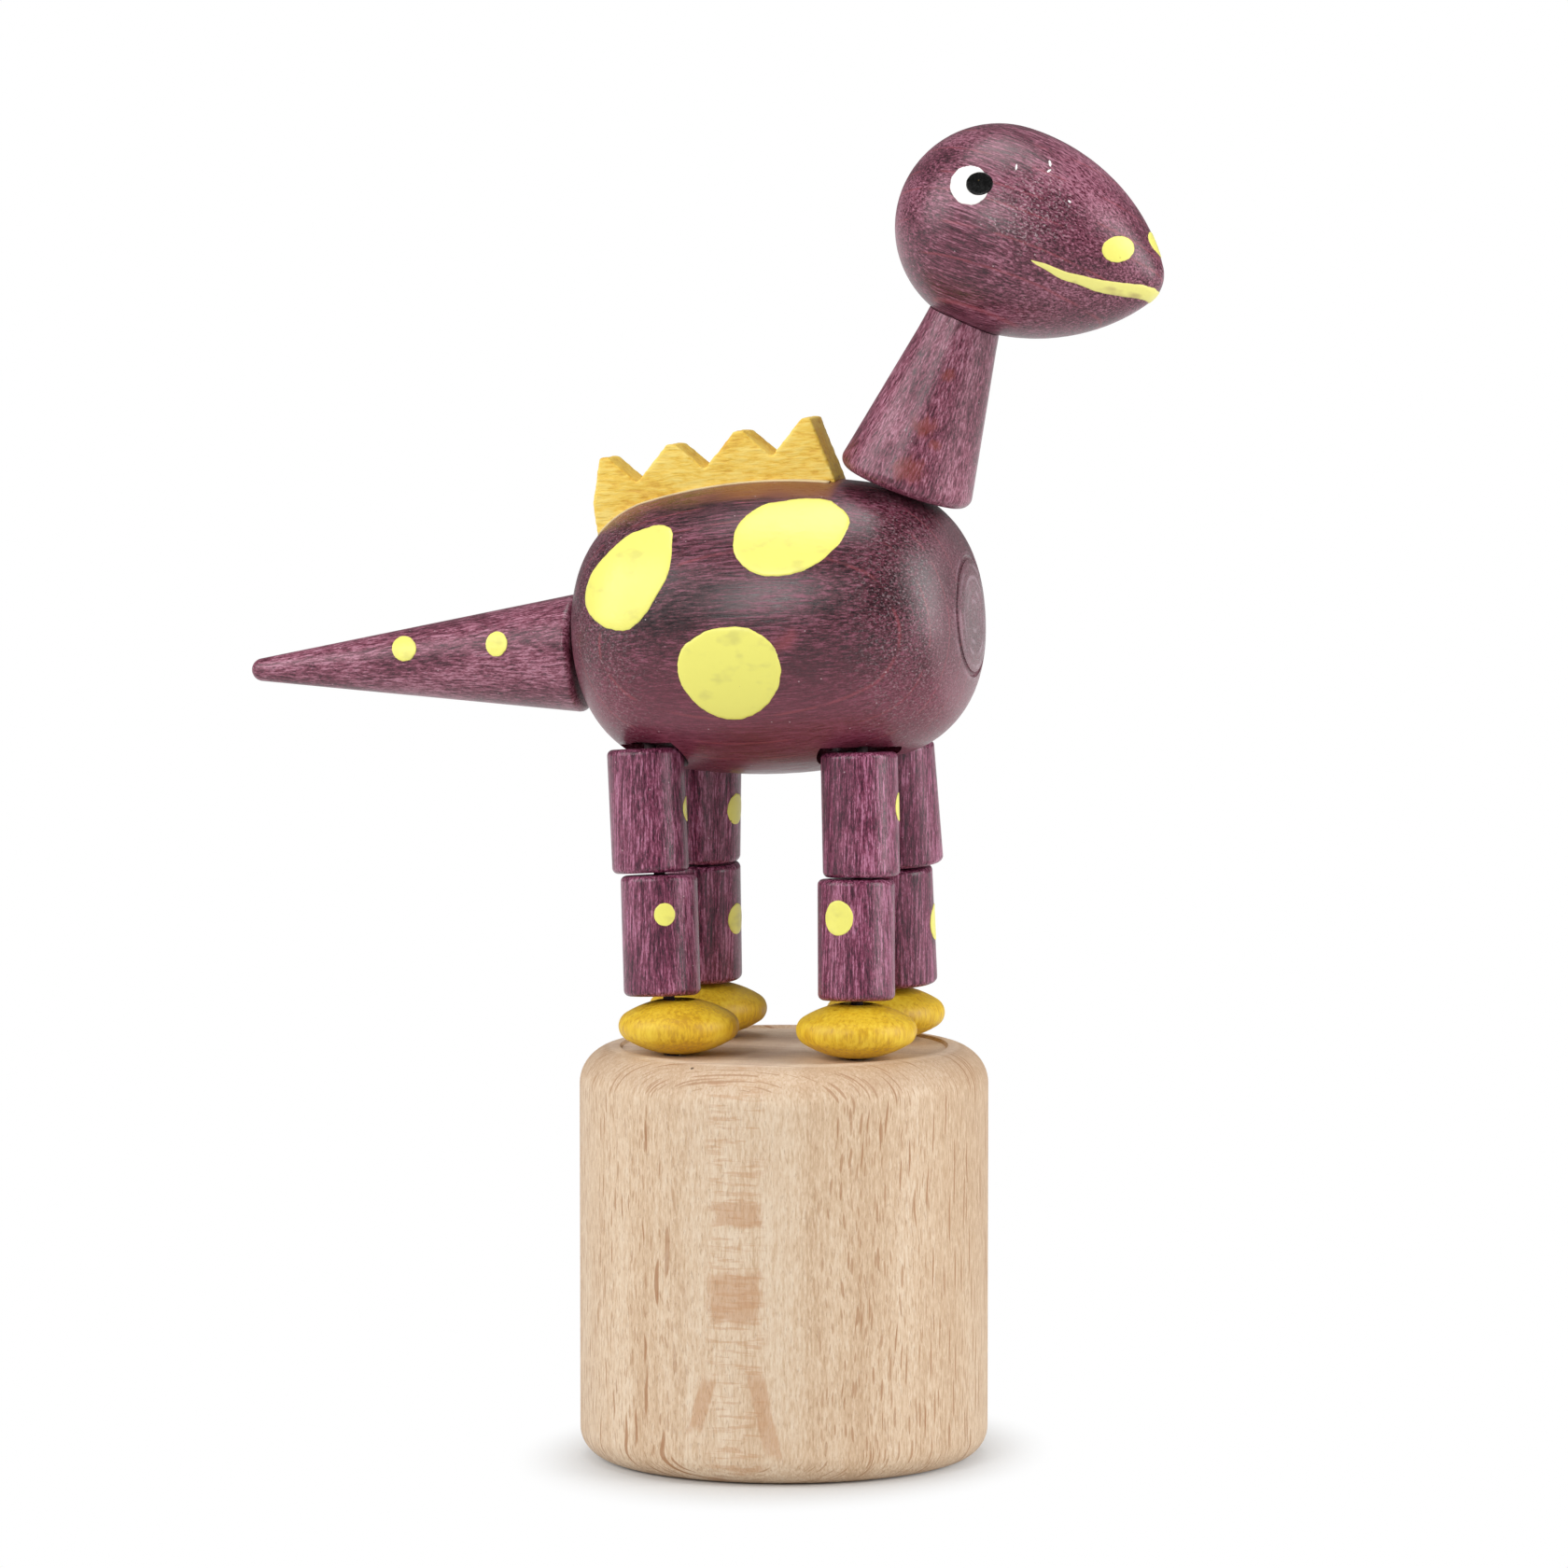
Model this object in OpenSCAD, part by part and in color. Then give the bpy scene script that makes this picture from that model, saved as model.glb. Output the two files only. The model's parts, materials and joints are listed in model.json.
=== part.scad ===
// Push puppet: a long-necked wooden animal strung on four cords above a turned base.
// A sprung button under the base keeps the cords tight; pressing it lets the beads lean over.
// Millimetres. +Z is up, +X is the way the animal faces, and the origin is the centre of the underside.

/* [Base] */
// Diameter of the turned base
base_diameter = 30; // [29:0.1:36]
// Height of the turned base
base_height = 30.3; // [27:0.1:40]
// Radius of the rounded top edge
base_top_round = 2.8; // [1:0.1:3.2]
// Radius of the rounded bottom edge
base_bottom_round = 2.2; // [0.5:0.1:2.6]
// Depth of the shallow dish in the top, inside the rounded edge
dish_depth = 0.2; // [0.1:0.05:0.5]
// Diameter of the well bored from below
well_diameter = 22.8; // [22:0.1:24]
// Wood left between the well and the top
base_ceiling = 7; // [4:0.1:9]

/* [Button and spring] */
// Thickness of the push button
button_thickness = 4.5; // [3.4:0.1:6]
// Depth of the button's face above the bottom rim, room for a thumb
button_recess = 6; // [4.5:0.1:8]
// Mean diameter of the return spring
spring_diameter = 13; // [9:0.1:15]
// Diameter of the spring wire
spring_wire = 0.9; // [0.6:0.05:1.1]
// Number of curls in the return spring
spring_curls = 6; // [4:1:7]

/* [Cords] */
// Diameter of each cord
cord_diameter = 0.84; // [0.5:0.02:1]
// Diameter of the knot at each cord's lower end
knot_diameter = 2; // [1.4:0.05:2.2]
// Diameter of the cord holes in the base and the button
cord_hole = 1.5; // [1.2:0.05:1.8]
// Diameter of the cord holes in the beads and the body
bead_bore = 2.4; // [2.2:0.05:2.6]
// Length of each peg that wedges the cord ends
peg_length = 2.5; // [1.5:0.1:4]

/* [Legs] */
// Distance between the front and rear cord holes in the base
leg_spacing_x = 13.6; // [13:0.1:14.6]
// Distance between the left and right cord holes in the base
leg_spacing_y = 11.8; // [11:0.1:12.4]
// Distance between the left and right cord holes in the belly
hip_spacing_y = 8.8; // [8.4:0.1:10]
// How far the middle of the four legs sits forward of the base's axis
leg_offset_x = -0.2; // [-0.6:0.1:0.6]
// Diameter of the leg beads
leg_diameter = 5.6; // [4.6:0.1:6.4]
// Length of a lower leg bead
lower_leg_length = 8.8; // [6:0.05:12]
// Length of an upper leg bead
upper_leg_length = 9.05; // [6:0.05:12]
// Radius of the rounded edges of the leg beads
leg_round = 0.45; // [0.3:0.05:0.9]
// Diameter of the foot beads
foot_diameter = 8.8; // [7.5:0.1:9.6]
// Thickness of the foot beads
foot_thickness = 4.1; // [3:0.1:5]
// Radius of the rounded rim of the foot beads
foot_rim = 1.1; // [0.6:0.05:1.3]

/* [Body] */
// Length of the turned body
body_length = 29.5; // [27:0.1:33]
// Largest diameter of the body
body_diameter = 21.6; // [20:0.1:23]
// Radius of the long arc along the body's side
body_side_arc = 40; // [32:0.5:60]
// Diameter of the flat at each end of the body
body_end_flat = 5; // [4:0.1:6]
// Diameter of the ring turned round the chest
chest_ring = 8.6; // [7.8:0.1:10]
// Height of the body's middle above the leg tops
body_lift = 8.75; // [8.4:0.05:11]
// How far the body's middle sits forward of the base's axis
body_x = -0.4; // [-1.5:0.1:1.5]
// Nose-up slope of the body in degrees
body_pitch = 4; // [0:0.5:8]
// Turn of the body to its left in degrees
body_turn = -3; // [-6:0.5:6]

/* [Crest] */
// Thickness of the crest
crest_thickness = 3.2; // [2:0.1:4.5]
// Number of teeth
crest_teeth = 4; // [3:1:5]
// Distance between teeth
crest_pitch = 5.1; // [4:0.05:5.2]
// Width of the blunt tip of each tooth
crest_tip = 0.65; // [0.5:0.05:1.6]
// Depth of the notches between teeth
crest_notch = 2.3; // [1:0.05:3]
// Slope of the row of teeth in degrees, front higher
crest_slope = 11.5; // [4:0.5:14]
// Distance of the front tooth's tip ahead of the body's middle
crest_front = 2.45; // [0:0.05:3]
// Height of the front tooth's tip above the body's middle
crest_height = 15.3; // [14:0.1:18]
// How far the crest's front edge runs forward below its tip
crest_front_run = 1.9; // [1:0.1:2.2]
// How far the crest's rear edge swells behind its tip
crest_bulge = 0.5; // [0:0.05:0.6]
// Depth of the slot that the crest is glued into
crest_slot = 0.9; // [0.5:0.1:2]

/* [Neck, head and tail] */
// Diameter of the neck at the bottom
neck_bottom_diameter = 10.3; // [8.5:0.1:10.8]
// Diameter of the neck at the top
neck_top_diameter = 5.5; // [4.8:0.1:7.5]
// Length of the neck to the bottom of its cup
neck_length = 12.5; // [9:0.1:16]
// Radius of the neck's rounded bottom edge
neck_round = 0.8; // [0.3:0.05:1.2]
// Forward slope of the neck in degrees
neck_tilt = 20.5; // [15:0.5:26]
// Distance of the neck's foot ahead of the body's middle
neck_forward = 9.4; // [9:0.05:11]
// Diameter of the big end of the head
head_diameter = 15; // [13:0.1:17]
// Diameter of the snout
snout_diameter = 4.8; // [3.6:0.1:7]
// Distance between the middles of the head's two ends
head_reach = 11; // [9:0.1:13]
// Radius of the long arc along the head's side
head_side_arc = 16.2; // [14:0.1:22]
// Downward slope of the head in degrees
head_pitch = 17.5; // [0:0.5:30]
// Turn of the head to its left in degrees
head_turn = -12; // [-25:0.5:25]
// Depth of the cord hole in the head
head_hole = 8; // [6:0.1:10]
// Diameter of the tail at its root
tail_diameter = 8.8; // [7:0.1:9.5]
// Diameter of the tail's round tip
tail_tip_diameter = 1.7; // [1:0.1:2.6]
// Length of the tail
tail_length = 25.8; // [18:0.1:32]
// How far the tail hangs below the middle of the body's rear end
tail_drop = 1.2; // [0:0.1:1.6]
// Radius of the rounded edge at the tail's root
tail_round = 0.5; // [0.2:0.05:1]
// Depth of the cord hole in the tail
tail_hole = 9; // [6:0.1:11]

/* [Fits] */
// Radial clearance of the button in its well
button_clearance = 0.3; // [0.2:0.05:0.5]
// Gap between one bead and the next
bead_gap = 0.12; // [0.12:0.01:0.4]
// Gap between the foot beads and the base
foot_gap = 0.05; // [0.02:0.01:0.2]
// Gap between the leg tops and their seats in the belly
seat_gap = 0.35; // [0.3:0.05:0.6]
// Radial clearance of the seats round the leg tops
seat_clearance = 0.3; // [0.3:0.05:0.8]
// Gap at the neck's foot, the neck's cup and the tail's root
joint_gap = 0.15; // [0.1:0.05:0.3]
// Radial clearance of the pegs, cords and knots in their holes
peg_clearance = 0.05; // [0.02:0.01:0.1]

/* [Hidden] */
$fn = 96;

stain = "#5a2c3c";
leg_stain = "#7b4558";
yellow = "#dcae27";
beech = "#dcb98c";
cord_colour = "#d8d2c4";
steel = "#9a9da0";

// Each leg: forward sign, left sign, then how far forward of its hole in the base its foot, lower bead,
// upper bead and hip have settled, in leg diameters, and the leans of its lower and upper beads in degrees
FR = [1, -1, 0, -0.02, 0.01, 0.02, -1, -2];
FL = [1, 1, -0.03, 0.14, 0.21, 0.26, -2, -4];
RR = [-1, -1, 0.07, -0.19, -0.38, -0.37, -2.5, -3.5];
RL = [-1, 1, 0, -0.04, -0.02, -0.05, 0, 1.5];

// Heights of the stack from the floor up
deck_z = base_height - dish_depth;
foot_z = deck_z + foot_gap;
lower_z = foot_z + foot_thickness + bead_gap;
upper_z = lower_z + lower_leg_length + bead_gap;
hip_z = upper_z + upper_leg_length + seat_gap;
body_z = upper_z + upper_leg_length + body_lift;
leg_splay = atan((leg_spacing_y - hip_spacing_y) / 2 / (hip_z - deck_z));
button_top = button_recess + button_thickness;
well_top = base_height - base_ceiling;

// The body's outline: a long side arc that runs into a round shoulder at each end
body_half = body_length / 2;
body_radius = body_diameter / 2;
end_radius = body_end_flat / 2;
side_centre = body_side_arc - body_radius;
shoulder = (body_side_arc * body_side_arc - body_half * body_half - pow(end_radius + side_centre, 2))
    / (2 * (body_side_arc - body_half));

// The neck's foot rests on the body where the body's surface has the same slope
neck_slope = neck_tilt + body_pitch;
neck_reach = (body_half - shoulder) * sin(neck_slope) + end_radius * cos(neck_slope) + shoulder;
neck_up = (neck_reach + joint_gap - neck_forward * sin(neck_tilt)) / cos(neck_tilt);
neck_axis = turn([sin(neck_tilt), 0, cos(neck_tilt)]);
neck_foot = at_body([neck_forward, 0, neck_up]);
neck_half_angle = atan((neck_bottom_diameter - neck_top_diameter) / 2 / neck_length);
head_radius = head_diameter / 2;
head_middle = neck_foot + (neck_length + joint_gap + head_radius) * neck_axis;
head_end = head_middle + (head_hole - head_radius - joint_gap) * neck_axis;

// The tail carries on from the rear end of the body along the same line
body_axis = turn([cos(body_pitch), 0, sin(body_pitch)]);
body_down = turn([sin(body_pitch), 0, -cos(body_pitch)]);
tail_root = at_body([0, 0, 0]) - (body_half + joint_gap) * body_axis + tail_drop * body_down;
tail_end = tail_root - tail_hole * body_axis;

// The two cords that share a hole lie side by side
cord_side = cord_diameter / 2 + peg_clearance;
shared_play = 0.7;
shared_bore = 2 * cord_diameter + 4 * peg_clearance + shared_play;
dish_rim = 0.15;
bend_setback = 1.2;
cup_depth = 0.6;
cup_play = 4.5;
crest_foot = 2;
button_round = 0.5;
groove_depth = 0.2;
spring_gap = 0.02;
overcut = 1;
half_plane = 200;
knot_shares = [0, 0.2, 0.8, 1];
cord_sides = 8;
coil_rings = 8;
wire_sides = 6;

function turn(p) = [
    p.x * cos(body_turn) - p.y * sin(body_turn), p.x * sin(body_turn) + p.y * cos(body_turn), p.z
];
function at_body(p) = [body_x, 0, body_z] + turn(p);
function leg_x(leg) = leg_offset_x + leg[0] * leg_spacing_x / 2;
function leg_y(leg) = leg[1] * leg_spacing_y / 2;
function leg_point(leg, settled, z) = [
    leg_x(leg) + settled * leg_diameter,
    leg_y(leg) - leg[1] * (z - deck_z) * tan(leg_splay),
    z
];
function cord_foot(leg) = [leg_x(leg), leg_y(leg), deck_z];
function hip(leg) = leg_point(leg, leg[5], hip_z);
function seat(leg) = leg[0] > 0 ? neck_foot : tail_root;
function cord_end(leg) = leg[0] > 0 ? head_end - peg_length * neck_axis : tail_end + peg_length * body_axis;
function aside(leg) = turn([0, leg[1] * cord_side, 0]);
function corner(leg) = seat(leg) + aside(leg);
function unit(v) = v / norm(v);

// A tube along points, with a radius for each point; the faces are triangles
function ring(points, radii, i, sides) =
    let (
        last = len(points) - 1,
        along = unit(points[min(i + 1, last)] - points[max(i - 1, 0)]),
        right = unit(cross(along, abs(along.z) > 0.8 ? [0, 1, 0] : [0, 0, 1])),
        over = cross(along, right)
    )
    [for (k = [0 : sides - 1])
        points[i] + radii[i] * (cos(360 * k / sides) * right + sin(360 * k / sides) * over)];

module tube(points, radii, sides) {
    count = len(points);
    corners = [for (i = [0 : count - 1]) each ring(points, radii, i, sides)];
    walls = [
        for (i = [0 : count - 2], k = [0 : sides - 1])
            let (a = i * sides + k, b = i * sides + (k + 1) % sides)
            each [[a, b, b + sides], [a, b + sides, a + sides]]
    ];
    first_cap = [for (k = [1 : sides - 2]) [0, k + 1, k]];
    top = (count - 1) * sides;
    last_cap = [for (k = [1 : sides - 2]) [top, top + k, top + k + 1]];
    polyhedron(points = corners, faces = concat(walls, first_cap, last_cap));
}

// A bend of three points in place of a sharp corner
function bend(before, corner, after) =
    let (
        start = corner + bend_setback * unit(before - corner),
        stop = corner + bend_setback * unit(after - corner)
    )
    [start, (start + 2 * corner + stop) / 4, stop];

// A solid of turning that keeps only the half of its outline right of the axis
module turned() {
    rotate_extrude()
        intersection() {
            children();
            translate([0, -half_plane / 2])
                square(half_plane);
        }
}

// A cylinder with rounded edges that stands on its bottom face
module bead(diameter, height, round_edge) {
    radius = diameter / 2;
    turned()
        union() {
            square([radius - round_edge, height]);
            translate([0, round_edge])
                square([radius, height - 2 * round_edge]);
            for (z = [round_edge, height - round_edge])
                translate([radius - round_edge, z])
                    circle(round_edge);
        }
}

// The body's outline, shrunk by the inset on all sides
module body_profile(inset) {
    arc = body_side_arc - inset;
    edge = shoulder - inset;
    reach = body_half - shoulder;
    tangent = reach * arc / (body_side_arc - shoulder);
    union() {
        translate([0, inset - body_half])
            square([end_radius, body_length - 2 * inset]);
        for (z = [-reach, reach])
            translate([end_radius, z])
                circle(edge);
        intersection() {
            translate([-side_centre, 0])
                circle(arc);
            translate([0, -tangent])
                square([body_diameter, 2 * tangent]);
        }
    }
}

module place_body() {
    translate([body_x, 0, body_z])
        rotate([0, 0, body_turn])
            children();
}

module along_body() {
    place_body()
        rotate([0, 90 - body_pitch, 0])
            children();
}

module place_neck() {
    translate(neck_foot)
        rotate([0, 0, body_turn])
            rotate([0, neck_tilt, 0])
                children();
}

module place_tail() {
    translate(tail_root)
        rotate([0, 0, body_turn])
            rotate([0, -90 - body_pitch, 0])
                children();
}

// A straight hole from one point to another
module bore(from, to, diameter) {
    way = to - from;
    translate(from)
        rotate([0, acos(way.z / norm(way)), atan2(way.y, way.x)])
            cylinder(d = diameter, h = norm(way));
}

module base() {
    radius = base_diameter / 2;
    flat_radius = radius - base_top_round;
    dish_radius = flat_radius - dish_rim;
    color(beech)
        difference() {
            turned()
                difference() {
                    union() {
                        square([radius - base_bottom_round, base_height - base_top_round]);
                        square([flat_radius, base_height]);
                        translate([0, base_bottom_round])
                            square([radius, base_height - base_bottom_round - base_top_round]);
                        translate([radius - base_bottom_round, base_bottom_round])
                            circle(base_bottom_round);
                        translate([flat_radius, base_height - base_top_round])
                            circle(base_top_round);
                    }
                    polygon([
                        [-overcut, deck_z], [dish_radius - dish_depth, deck_z],
                        [dish_radius + overcut, base_height + overcut], [-overcut, base_height + overcut]
                    ]);
                }
            translate([0, 0, -overcut])
                cylinder(d = well_diameter, h = well_top + overcut);
            for (leg = [FR, FL, RR, RL])
                translate([leg_x(leg), leg_y(leg), 0])
                    cylinder(d = cord_hole, h = base_height + overcut);
        }
}

module push_button() {
    color(beech)
        difference() {
            translate([0, 0, button_recess])
                bead(well_diameter - 2 * button_clearance, button_thickness, button_round);
            for (leg = [FR, FL, RR, RL])
                translate([leg_x(leg), leg_y(leg), button_recess]) {
                    cylinder(d = cord_hole, h = button_thickness + overcut);
                    translate([0, 0, -overcut])
                        cylinder(d = knot_diameter + 2 * peg_clearance, h = knot_diameter + overcut);
                }
        }
}

module return_spring() {
    bottom = button_top + spring_wire / 2 + spring_gap;
    rise = well_top - spring_wire / 2 - spring_gap - bottom;
    steps = spring_curls * coil_rings;
    points = [
        for (i = [0 : steps])
            [spring_diameter / 2 * cos(360 * i / coil_rings), spring_diameter / 2 * sin(360 * i / coil_rings),
                bottom + rise * i / steps]
    ];
    steps_apart = [for (i = [0 : steps - coil_rings]) norm(points[i + coil_rings] - points[i])];
    echo(spring_least_gap = min(steps_apart) - spring_wire);
    color(steel)
        tube(points, [for (p = points) spring_wire / 2], wire_sides);
}

module cord(leg) {
    start = [leg_x(leg), leg_y(leg), button_recess + peg_clearance];
    knot_points = [for (share = knot_shares) start + [0, 0, share * (knot_diameter - 2 * peg_clearance)]];
    finish = cord_end(leg) + aside(leg);
    points = concat(
        knot_points,
        bend(start, cord_foot(leg), hip(leg)),
        bend(cord_foot(leg), hip(leg), corner(leg)),
        bend(hip(leg), corner(leg), finish),
        [finish]
    );
    thin = cord_diameter / 2;
    knot_radii = [thin, knot_diameter / 2, knot_diameter / 2, thin];
    radii = [for (i = [0 : len(points) - 1]) i < len(knot_radii) ? knot_radii[i] : thin];
    color(cord_colour)
        tube(points, radii, cord_sides);
}

// A lens with a rounded rim: two shallow caps that run into the rim's arc
module foot(leg) {
    rim_centre = foot_diameter / 2 - foot_rim;
    cap = (pow(rim_centre, 2) + pow(foot_thickness / 2, 2) - foot_rim * foot_rim)
        / (foot_thickness - 2 * foot_rim);
    tangent = rim_centre * cap / (cap - foot_rim);
    color(yellow)
        difference() {
            translate(leg_point(leg, leg[2], foot_z + foot_thickness / 2))
                turned()
                    union() {
                        translate([rim_centre, 0])
                            circle(foot_rim);
                        intersection() {
                            translate([0, cap - foot_thickness / 2])
                                circle(cap);
                            translate([0, foot_thickness / 2 - cap])
                                circle(cap);
                            translate([0, -foot_thickness])
                                square([tangent, 2 * foot_thickness]);
                        }
                    }
            translate(leg_point(leg, leg[2], foot_z + foot_thickness / 2))
                cylinder(d = bead_bore, h = foot_thickness + overcut, center = true);
        }
}

// Moves to the middle of a leg bead and leans with it
module at_bead(leg, settled, z, lean) {
    translate(leg_point(leg, settled, z))
        rotate([leg[1] * leg_splay, lean, 0])
            children();
}

module at_upper_leg(leg) {
    at_bead(leg, leg[4], upper_z + upper_leg_length / 2, leg[7])
        children();
}

module leg_bead(length) {
    color(leg_stain)
        difference() {
            translate([0, 0, -length / 2])
                bead(leg_diameter, length, leg_round);
            cylinder(d = bead_bore, h = length + overcut, center = true);
        }
}

module lower_leg(leg) {
    at_bead(leg, leg[3], lower_z + lower_leg_length / 2, leg[6])
        leg_bead(lower_leg_length);
}

module upper_leg(leg) {
    at_upper_leg(leg)
        leg_bead(upper_leg_length);
}

// The room that a leg's top takes in the belly
module leg_seat(leg) {
    at_upper_leg(leg)
        cylinder(d = leg_diameter + 2 * seat_clearance, h = upper_leg_length / 2 + seat_gap);
}

// The crest's flat outline seen from its right side, down to the floor of its slot
module crest_outline() {
    last = crest_teeth - 1;
    slope = tan(crest_slope);
    half_pitch = crest_pitch / 2;
    tip_x = [for (i = [0 : last]) crest_front - (last - i) * crest_pitch];
    tip_z = [for (x = tip_x) crest_height + (x - crest_front) * slope];
    teeth = [
        for (i = [0 : last])
            each concat(
                [[tip_x[i] - crest_tip / 2, tip_z[i]], [tip_x[i] + crest_tip / 2, tip_z[i]]],
                i < last ? [[tip_x[i] + half_pitch, tip_z[i] + half_pitch * slope - crest_notch]] : []
            )
    ];
    rear = tip_x[0] - crest_tip / 2;
    front = tip_x[last] + crest_tip / 2;
    outline = concat(
        [[rear, crest_foot], [rear, body_radius / 2], [rear - crest_bulge, (body_radius / 2 + tip_z[0]) / 2]],
        teeth,
        [[front + crest_front_run, body_radius], [front + crest_front_run, crest_foot]]
    );
    difference() {
        polygon(outline);
        rotate(body_pitch - 90)
            mirror([1, 0, 0])
                body_profile(crest_slot);
    }
}

module crest_plate() {
    place_body()
        rotate([90, 0, 0])
            translate([0, 0, -crest_thickness / 2])
                linear_extrude(crest_thickness)
                    crest_outline();
}

module body() {
    ring_x = chest_ring / 2 - end_radius;
    chest_sink = shoulder - sqrt(shoulder * shoulder - ring_x * ring_x);
    color(stain)
        difference() {
            along_body()
                turned()
                    difference() {
                        body_profile(0);
                        translate([chest_ring / 2, body_half - chest_sink])
                            circle(groove_depth);
                    }
            crest_plate();
            for (leg = [FR, FL, RR, RL]) {
                leg_seat(leg);
                way = unit(corner(leg) - hip(leg));
                bore(hip(leg) - overcut * way, corner(leg) + overcut * way, bead_bore);
            }
        }
}

module back_crest() {
    color(yellow)
        crest_plate();
}

// A cone with a round-edged foot and a cup in its top for the head
module neck() {
    bottom = neck_bottom_diameter / 2;
    top = neck_length + cup_depth;
    edge_x = bottom - neck_round * (tan(neck_half_angle) + 1 / cos(neck_half_angle));
    side_x = edge_x + neck_round * cos(neck_half_angle);
    color(stain)
        place_neck()
            difference() {
                turned()
                    difference() {
                        union() {
                            translate([edge_x, neck_round])
                                circle(neck_round);
                            polygon([
                                [0, 0], [edge_x, 0],
                                [side_x, neck_round * (1 + sin(neck_half_angle))],
                                [bottom - top * tan(neck_half_angle), top], [0, top]
                            ]);
                        }
                        translate([0, neck_length + head_radius + cup_play])
                            circle(head_radius + cup_play);
                    }
                translate([0, 0, -overcut])
                    cylinder(d = shared_bore, h = top + 2 * overcut);
            }
}

// An egg of two round ends joined by one long arc, with its snout along the local Z axis
module egg() {
    big = head_radius;
    small = snout_diameter / 2;
    from_big = head_side_arc - big;
    from_small = head_side_arc - small;
    arc_z = (from_big * from_big - from_small * from_small + head_reach * head_reach) / (2 * head_reach);
    arc_x = sqrt(from_big * from_big - arc_z * arc_z);
    low = arc_z - arc_z * head_side_arc / from_big;
    high = arc_z + (head_reach - arc_z) * head_side_arc / from_small;
    turned()
        union() {
            circle(big);
            translate([0, head_reach])
                circle(small);
            intersection() {
                translate([-arc_x, arc_z])
                    circle(head_side_arc);
                translate([0, low])
                    square([head_diameter, high - low]);
            }
        }
}

module head() {
    color(stain)
        difference() {
            translate(head_middle)
                rotate([0, 0, body_turn + head_turn])
                    rotate([0, 90 + head_pitch, 0])
                        egg();
            bore(head_middle - head_diameter * neck_axis, head_end, shared_bore);
        }
}

module head_peg() {
    color(beech)
        bore(head_end - peg_length * neck_axis, head_end, shared_bore - 2 * peg_clearance);
}

module tail() {
    root = tail_diameter / 2;
    tip = tail_tip_diameter / 2;
    slope = asin((root - tip) / (tail_length - tip));
    edge_x = root - tail_round * (tan(slope) + 1 / cos(slope));
    color(stain)
        place_tail()
            difference() {
                turned()
                    union() {
                        translate([edge_x, tail_round])
                            circle(tail_round);
                        translate([0, tail_length - tip])
                            circle(tip);
                        polygon([
                            [0, 0], [edge_x, 0],
                            [edge_x + tail_round * cos(slope), tail_round * (1 + sin(slope))],
                            [tip * cos(slope), tail_length - tip + tip * sin(slope)],
                            [0, tail_length - tip]
                        ]);
                    }
                translate([0, 0, -overcut])
                    cylinder(d = shared_bore, h = tail_hole + overcut);
            }
}

module tail_peg() {
    color(beech)
        bore(tail_end, tail_end + peg_length * body_axis, shared_bore - 2 * peg_clearance);
}

base();
push_button();
return_spring();
cord(FR);  // front_right_cord
cord(FL);  // front_left_cord
cord(RR);  // rear_right_cord
cord(RL);  // rear_left_cord
foot(FR);  // front_right_foot
foot(FL);  // front_left_foot
foot(RR);  // rear_right_foot
foot(RL);  // rear_left_foot
lower_leg(FR);  // front_right_lower_leg
lower_leg(FL);  // front_left_lower_leg
lower_leg(RR);  // rear_right_lower_leg
lower_leg(RL);  // rear_left_lower_leg
upper_leg(FR);  // front_right_upper_leg
upper_leg(FL);  // front_left_upper_leg
upper_leg(RR);  // rear_right_upper_leg
upper_leg(RL);  // rear_left_upper_leg
body();
back_crest();
neck();
head();
head_peg();
tail();
tail_peg();
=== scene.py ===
# Looks of a wooden push puppet: a long-necked animal of strung beads above a turned base
import json
import math

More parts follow.
